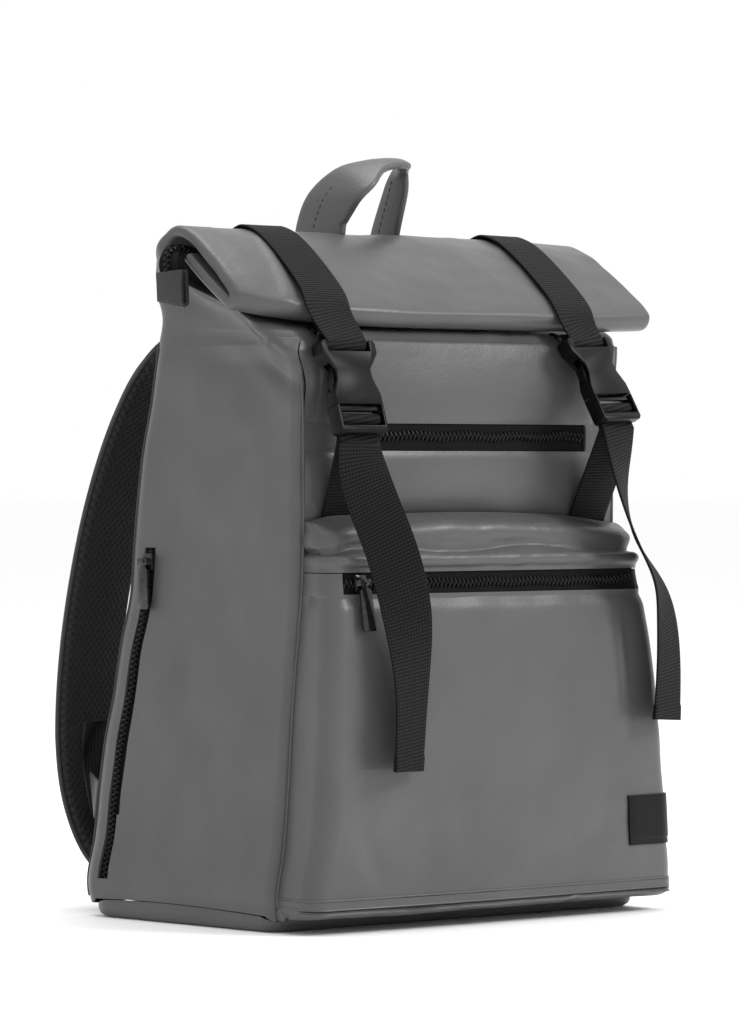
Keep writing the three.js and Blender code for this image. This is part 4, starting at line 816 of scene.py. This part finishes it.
def upper_path(b):
    m = buckle_frame(b)
    pts, acr = [], []
    for row in ROWS_ON_ROLL:
        x = SEAM * (b["ridge"] + (b["lip"] - b["ridge"]) * (row - 4.5) / 8.5)
        left, middle, right = (roll_point(np.array(x + shift), np.array(float(row)), 1 + LIFT)
                               for shift in (-WEB_WIDE / 2, 0, WEB_WIDE / 2))
        pts.append(middle)
        acr.append(right - left)
    side = (m.to_3x3() @ Vector((1, 0, 0)))
    wrap = BAR_HALF + .5 + WEB_THICK / 2
    local = [(-wrap, BAR_HEIGHT + 3.5)]
    for turn in (180, 225, 270, 315, 360):
        a = math.radians(turn)
        local.append((wrap * math.cos(a), BAR_HEIGHT + wrap * math.sin(a)))
    local.append((wrap, BAR_HEIGHT + 8))
    for y, z in local:
        pts.append(np.array(m @ Vector((0, y, z))))
        acr.append(np.array(side) * WEB_WIDE)
    return even_path(pts, acr, 5, 11.5, 60)


# Where each lower strap leaves the seam, and its tail: across, ahead, up, turn in degrees
TAILS = {
    "left": (-.675, [(-.762, .889, .126, -20), (-.725, 1.0, .038, -36), (-.684, 1.27, -.071, -40),
                     (-.629, 1.375, -.202, -32), (-.6, 1.38, -.307, -6), (-.594, 1.39, -.441, 14),
                     (-.603, 1.347, -.613, 16)]),
    "right": (.705, [(.665, 1.01, .125, 24), (.69, 1.0, .034, 42), (.748, 1.083, -.08, 50),
                     (.832, 1.25, -.164, 38), (.867, 1.278, -.244, 24), (.885, 1.278, -.37, 18),
                     (.874, 1.264, -.517, 14)])}


def lower_path(name):
    m = buckle_frame(BUCKLES[name])
    anchor, tail = TAILS[name]
    side = np.array(m.to_3x3() @ Vector((1, 0, 0)))
    local = lambda y, z: np.array(m @ Vector((0, y, z)))
    wrap = CROSS_BAR_HALF + LIFT
    behind = BUCKLE_BACK + GAP
    hidden = np.array([anchor * SEAM, -FRONT - LIFT, POCKET_TOP - 10.])
    leaving = np.array([anchor * SEAM, -FRONT - LIFT - 3 * GAP, POCKET_TOP - 2.])
    flat = np.array([1., 0, 0])
    pts = [hidden, leaving, (leaving + local(behind, -4)) / 2]
    acr = [flat, flat, flat]
    spots = [(behind, -2), (behind - .1, 3), (behind - .7, 6.5), (behind - 2.2, 9)]
    for turn in (0, 45, 90, 135, 180):
        a = math.radians(turn)
        spots.append((wrap * math.cos(a), CROSS_BAR_HEIGHT + wrap * math.sin(a)))
    spots += [(-2.2, 8), (-.6, 6.5), (1.7, 5.4), (2.1, 3), (2.1, -2), (2.6, -6)]
    for y, z in spots:
        pts.append(local(y, z))
        acr.append(side)
    for a, ahead, up, turn in tail:
        pts.append(np.array(from_pocket(a, ahead, up)))
        acr.append(np.array([math.cos(math.radians(turn)), math.sin(math.radians(turn)), 0]))
    return even_path(pts, acr, 16.5, len(pts) - 1.01, 90)


for name in ("left", "right"):
    pts, acr = upper_path(BUCKLES[name])
    ribbon("upper_web_" + name, pts, acr, WEB_WIDE, WEB_THICK, WEBBING,
           ["upper_strap_" + name], step=1.6)
    pts, acr = lower_path(name)
    ribbon("lower_web_" + name, pts, acr, WEB_WIDE, WEB_THICK, WEBBING,
           ["lower_strap_" + name], step=1.6, hem_turn=9)
    for part in ("buckle_socket_", "buckle_plug_"):
        beveled(part + name, PLASTIC, wide=.6)
    beveled("snap_stud_" + name, STUD, wide=.3)
    beveled("strap_tab_" + name, LEATHER_MAT, wide=.5)

for node, who in (("pocket_slider", "bag"), ("side_slider", "bag"), ("pocket_pull", "pocket_zip_pull"),
                  ("side_pull", "side_zip_pull")):
    beveled(node, METAL, who, .4)

# Handle: shares across, front, its height, back, its height
HANDLE = np.array([
    (-1, -.33, .651, .82, .425), (-1, -.5, .71, .76, .64), (-1, -.73, .79, .5, .81),
    (-.73, -.78, .86, .14, .94), (-.27, -.62, .94, -.09, .985), (.27, -.55, .97, -.12, 1),
    (.67, -.4, .97, -.02, .985), (.93, -.12, .94, .3, .93), (1, -.05, .84, .5, .83), (1, .12, .64, .78, .59),
    (1, .17, .568, .81, .4)])
place = np.linspace(0, 10, 41)


def handle_edge(reach, rise):
    return np.stack([HANDLE_SPREAD * smooth(HANDLE[:, 0], place),
                     HANDLE_REACH * smooth(HANDLE[:, reach], place),
                     HEIGHT + HANDLE_RISE * smooth(HANDLE[:, rise], place)], -1)


fr, bk = handle_edge(1, 2), handle_edge(3, 4)
fr = np.vstack([fr[:1] + (0, 1, -6), fr, fr[-1:] + (0, 1, -5)])
bk = np.vstack([bk[:1] + (0, 0, -4), bk, bk[-1:] + (0, 0, -4)])
handle = ribbon("handle_pad", (fr + bk) / 2, bk - fr, np.linalg.norm(bk - fr, axis=1), HANDLE_THICK,
                LEATHER_MAT, ["handle"], step=1.5, edge=2.6, crown=.9, slanted=True)
along = np.gradient((fr + bk) / 2, axis=0)
face = np.cross(along, bk - fr)
face /= np.linalg.norm(face, axis=1, keepdims=True)
for name, part in (("left", slice(0, 12)), ("right", slice(30, 41))):
    line, up = (fr * .39 + bk * .61)[part], face[part]
    stitches("handle_stitch_" + name, line + up * 2.95, up, THREAD)
    stitches("handle_stitch_in_" + name, line - up * 2.95, -up, THREAD)

# Shoulder straps: shares across, back, up, wide, and of the full turn
STRAP = np.array([
    (.62, 0, 1, .9, 0), (.62, .32, 1, .95, 0), (.72, .55, .95, 1, 1), (.8, .715, .86, 1, 1),
    (.9, .83, .73, 1, 1), (.96, .925, .59, 1, 1), (1, .99, .44, 1, 1), (1.02, 1, .3, 1, 1),
    (1.02, .94, .19, .95, 1), (1, .78, .1, .8, .6), (.97, .51, .047, .6, 0)])
LOWER = np.array([(.98, .6, .09), (1.04, .74, .145), (1.075, .805, .215), (1.09, .82, .28), (1.09, .8, .33)])
seat = body(HEIGHT)[1] + 1


def strap_points(side, rows):
    return np.stack([side * rows[:, 0] * STRAP_SPREAD, seat + rows[:, 1] * STRAP_BOW,
                     rows[:, 2] * STRAP_RISE], -1)


for name, side in (("left", -1), ("right", 1)):
    turn = np.radians(STRAP_TURN * STRAP[:, 4])
    acr = np.stack([side * np.cos(turn), -np.sin(turn), 0 * turn], -1)
    pts = strap_points(side, STRAP)
    pad = ribbon("shoulder_pad_" + name, pts, acr, STRAP[:, 3] * STRAP_WIDE, STRAP_THICK, MESH,
                 ["shoulder_strap_" + name], step=3, edge=4.5, crown=1.2)
    place, q, _ = resample(pts, 120)
    ac = np.stack([np.interp(place, range(len(pts)), acr[:, k]) for k in range(3)], -1)
    wide = np.interp(place, range(len(pts)), STRAP[:, 3] * STRAP_WIDE)
    tube("strap_piping_" + name, q + ac * (wide / 2 + .2)[:, None], 1.5, PIPING_MAT)
    tube("strap_piping_in_" + name, q - ac * (wide / 2 + .2)[:, None], 1.5, PIPING_MAT)
    a = math.radians(STRAP_TURN)
    across = (side * math.cos(a), -math.sin(a), 0)
    ribbon("lower_webbing_strip_" + name, strap_points(side, LOWER), [across] * len(LOWER), 25, WEB_THICK,
            RIBBED, ["lower_webbing_" + name], step=2)

# Zips
def zip_piece(name, node, surface, us, vs, tape_lift, mid, coil_us):
    """A zip's tape sunk under a surface, with its coil at the row mid."""
    u, v = np.meshgrid(us, vs, indexing="ij")
    base = surface(u, v)
    n = normals_of(base)
    top = base + n * tape_lift
    width = np.linalg.norm(base[:, -1] - base[:, 0], axis=-1).mean()
    du = np.r_[0, np.cumsum(np.linalg.norm(np.diff(base[:, 0], axis=0), axis=-1))]
    uv = np.stack(np.meshgrid(du, np.linspace(0, width, len(vs)), indexing="ij"), -1)
    sheet(name + "_tape", top, top - n, TAPE, [node], uv=uv)
    cu = np.array(coil_us)
    at = surface(cu, np.full_like(cu, mid))
    u2, v2 = np.meshgrid(cu, [mid - .01, mid, mid + .01], indexing="ij")
    g = surface(u2, v2)
    nn = normals_of(g)[:, 1]
    sd = g[:, 2] - g[:, 0]
    sd /= np.linalg.norm(sd, axis=1, keepdims=True)
    wig = .5 * np.sin(np.arange(len(cu)) * .25)[:, None] * sd
    return coil(name + "_coil", at + nn * (tape_lift + .1) + wig, nn, sd)


zip_piece("upper", "upper_zip", body_surface,
          np.linspace((ZIP_LEFT - 5) / ZIP_FLAT, (ZIP_RIGHT + 5) / ZIP_FLAT, 90),
          np.linspace(ZIP_LOW - 5, ZIP_HIGH + 5, 8), -1.6, 283.8,
          np.linspace((ZIP_LEFT + 1) / ZIP_FLAT, (ZIP_RIGHT - 1) / ZIP_FLAT, 120))
pocket_us = wide_st[(wide_st > -1.3) & (wide_st < 1.25)]
ZIP_ROW = 9.5  # the pocket zip's middle in the rows of the pocket
zip_piece("pocket", "pocket_zip", pocket_surface, pocket_us, np.linspace(ZIP_ROW - .8, ZIP_ROW + .8, 8),
          -1.4, ZIP_ROW, np.linspace(-1.12, 1.0, 160))


def side_zip_surface(setback, z):
    straight = FRONT + body(z)[1] - FR - BR
    return body_surface(setback / straight - 3, z)


zip_piece("side", "side_zip", lambda z, s: side_zip_surface(-s, z),
          np.linspace(SIDE_ZIP_LOW - 3, SIDE_ZIP_HIGH + 3, 110), np.linspace(-17, -1, 6), -1.6, -9,
          np.linspace(SIDE_ZIP_LOW + 1, SIDE_ZIP_HIGH - 1, 160))

# Main zip, its tail and the end tab
LAST_ROW = float(len(COL) - 1)
mid0, height0, _, _, tilt0 = collar_section(np.array(LAST_ROW))
onward = np.array([0, -math.sin(tilt0), math.cos(tilt0)])
mouth = np.array([0, float(mid0), float(height0)])


def zip_at(x, past, drop):
    """A point past the roll's open end, dropped from its line."""
    shift = end_shift(np.array(float(x)), np.array(LAST_ROW))
    return mouth + onward * past + np.array([x, 0, -drop]) + shift


hang = np.array([0, 1, .15])
path = [(zip_at(s * ROLL_W, 3.0, 0), onward, 19) for s in np.linspace(.78, -.94, 16)]
path += [(zip_at(ZIP_TAIL + 11, 8, 0), onward, 13.3),
         (zip_at(ZIP_TAIL + 6, 10.5, 1), onward * .6 + hang * .4, 12.4),
         (zip_at(ZIP_TAIL + 2, 10.5, 4), hang, 13.3), (zip_at(ZIP_TAIL, 8.7, 8), hang, 17.1),
         (zip_at(ZIP_TAIL, 5.7, 18), hang, 17.1)]
points, sides, widths = (list(column) for column in zip(*path))
ribbon("main_zip_tape", points, sides, widths, TAPE_THICK, TAPE, ["main_zip"], step=2)
tail_pts, tail_sides = np.array(points[14:]), np.array(sides[14:])
pl, q, _ = resample(tail_pts, 40)
al = np.gradient(q, axis=0)
al /= np.linalg.norm(al, axis=1, keepdims=True)
ac = np.stack([np.interp(pl, range(len(tail_pts)), tail_sides[:, k]) for k in range(3)], -1)
ac = ac - al * (ac * al).sum(1, keepdims=True)
ac /= np.linalg.norm(ac, axis=1, keepdims=True)
up = np.cross(al, ac)
coil("main_zip_coil", q - up * .7, -up, ac)
beveled("zip_end_tab", PIPING_MAT, wide=.5)

# Label: plain leather with a thinned edge
rows = [float(pocket_row(z)) for z in (LABEL_FLOOR, LABEL_TOP)]
us = np.unique(np.r_[np.linspace(LABEL_LEFT / LABEL_FLAT, 1, 24), np.linspace(1, 2, 22)])


def label_lift(u, row, p):
    across = np.minimum(u - us[0], us[-1] - u) * 24
    tall = np.minimum(p[..., 2] - LABEL_FLOOR, LABEL_TOP - p[..., 2]) - .3
    line = np.minimum(across, tall)
    return 2.0 - .5 * np.clip(1 - line / .8, 0, 1)


panel("label_leather", pocket_surface, us, np.linspace(rows[0], rows[1], 40), 1.5, label_lift, BLACK_LEATHER,
      ["label_patch"])

# Seam cords
for side in (-1, 1):
    z = np.linspace(12, 336, 90)
    tube(f"front_seam_{side + 1}", body_surface(np.full(90, side * 1.03), z), .9, LEATHER_MAT)
    tube(f"back_seam_{side + 1}", body_surface(np.full(90, side * 3.5), z), 1.3, PIPING_MAT)
r = np.linspace(-2.95, 2.95, 160)
tube("pocket_floor_seam", pocket_surface(r, np.full(160, 4.0)), .8, LEATHER_MAT)

# Camera and light
VIEW_TURN, VIEW_DISTANCE, VIEW_HEIGHT = math.radians(42), 3.2, .264
PICTURE_TALL, FOCAL, SHIFT_RIGHT, SHIFT_UP = 1024, 5344, 1.5, -42  # in pixels
FILM = 36  # in millimetres
camera = bpy.data.objects.new("camera", bpy.data.cameras.new("camera"))
bpy.context.scene.collection.objects.link(camera)
camera.location = (-VIEW_DISTANCE * math.sin(VIEW_TURN), -VIEW_DISTANCE * math.cos(VIEW_TURN), VIEW_HEIGHT)
camera.rotation_euler = Euler((math.pi / 2, 0, -VIEW_TURN))
camera.data.lens = FILM * FOCAL / PICTURE_TALL
camera.data.sensor_width = FILM
camera.data.shift_x = SHIFT_RIGHT / PICTURE_TALL
camera.data.shift_y = SHIFT_UP / PICTURE_TALL
camera.data.clip_end = 60
bpy.context.scene.camera = camera


def lamp(name, place, aim, size, power):
    light = bpy.data.lights.new(name, "AREA")
    light.shape, light.size, light.size_y, light.energy = "RECTANGLE", size[0], size[1], power
    made = bpy.data.objects.new(name, light)
    made.location = place
    made.rotation_euler = (Vector(aim) - Vector(place)).to_track_quat("-Z", "Y").to_euler()
    bpy.context.scene.collection.objects.link(made)


lamp("key", (1.8, -2.7, 2.6), (0, 0, .25), (1.3, 1.3), 92)
lamp("top", (.2, .5, 3.0), (0, 0, .2), (2.0, 2.0), 50)
world = bpy.data.worlds.new("studio")
world.use_nodes = True
world.node_tree.nodes["Background"].inputs[0].default_value = (1, 1, 1, 1)
world.node_tree.nodes["Background"].inputs[1].default_value = 1.0
bpy.context.scene.world = world
bpy.context.scene.view_settings.view_transform = "Standard"

# Floor: a flat disc of rings, in metres
radii = (4, 9, 20, 40)
ring = 96
verts = [(r * math.cos(2 * math.pi * k / ring), r * math.sin(2 * math.pi * k / ring), 0)
         for r in radii for k in range(ring)]
faces = [(j * ring + k, (j + 1) * ring + k, (j + 1) * ring + (k + 1) % ring, j * ring + (k + 1) % ring)
         for j in range(len(radii) - 1) for k in range(ring)] + [tuple(range(ring))]
mesh = bpy.data.meshes.new("floor")
mesh.from_pydata(verts, [], faces)
floor = bpy.data.objects.new("floor", mesh)
bpy.context.scene.collection.objects.link(floor)


def floor_look(node, link, shader):
    where = node("TexCoord").outputs["Object"]
    soft = node("TexNoise", {"Vector": where, "Scale": 3.0}).outputs["Fac"]
    ramp = node("ValToRGB", {"Fac": soft})
    ramp.color_ramp.elements[0].color = (.965, .965, .965, 1)
    ramp.color_ramp.elements[1].color = (.98, .98, .98, 1)
    link(ramp.outputs["Color"], "Base Color")
    shader.inputs["Roughness"].default_value = .6


mesh.materials.append(material("floor", floor_look))
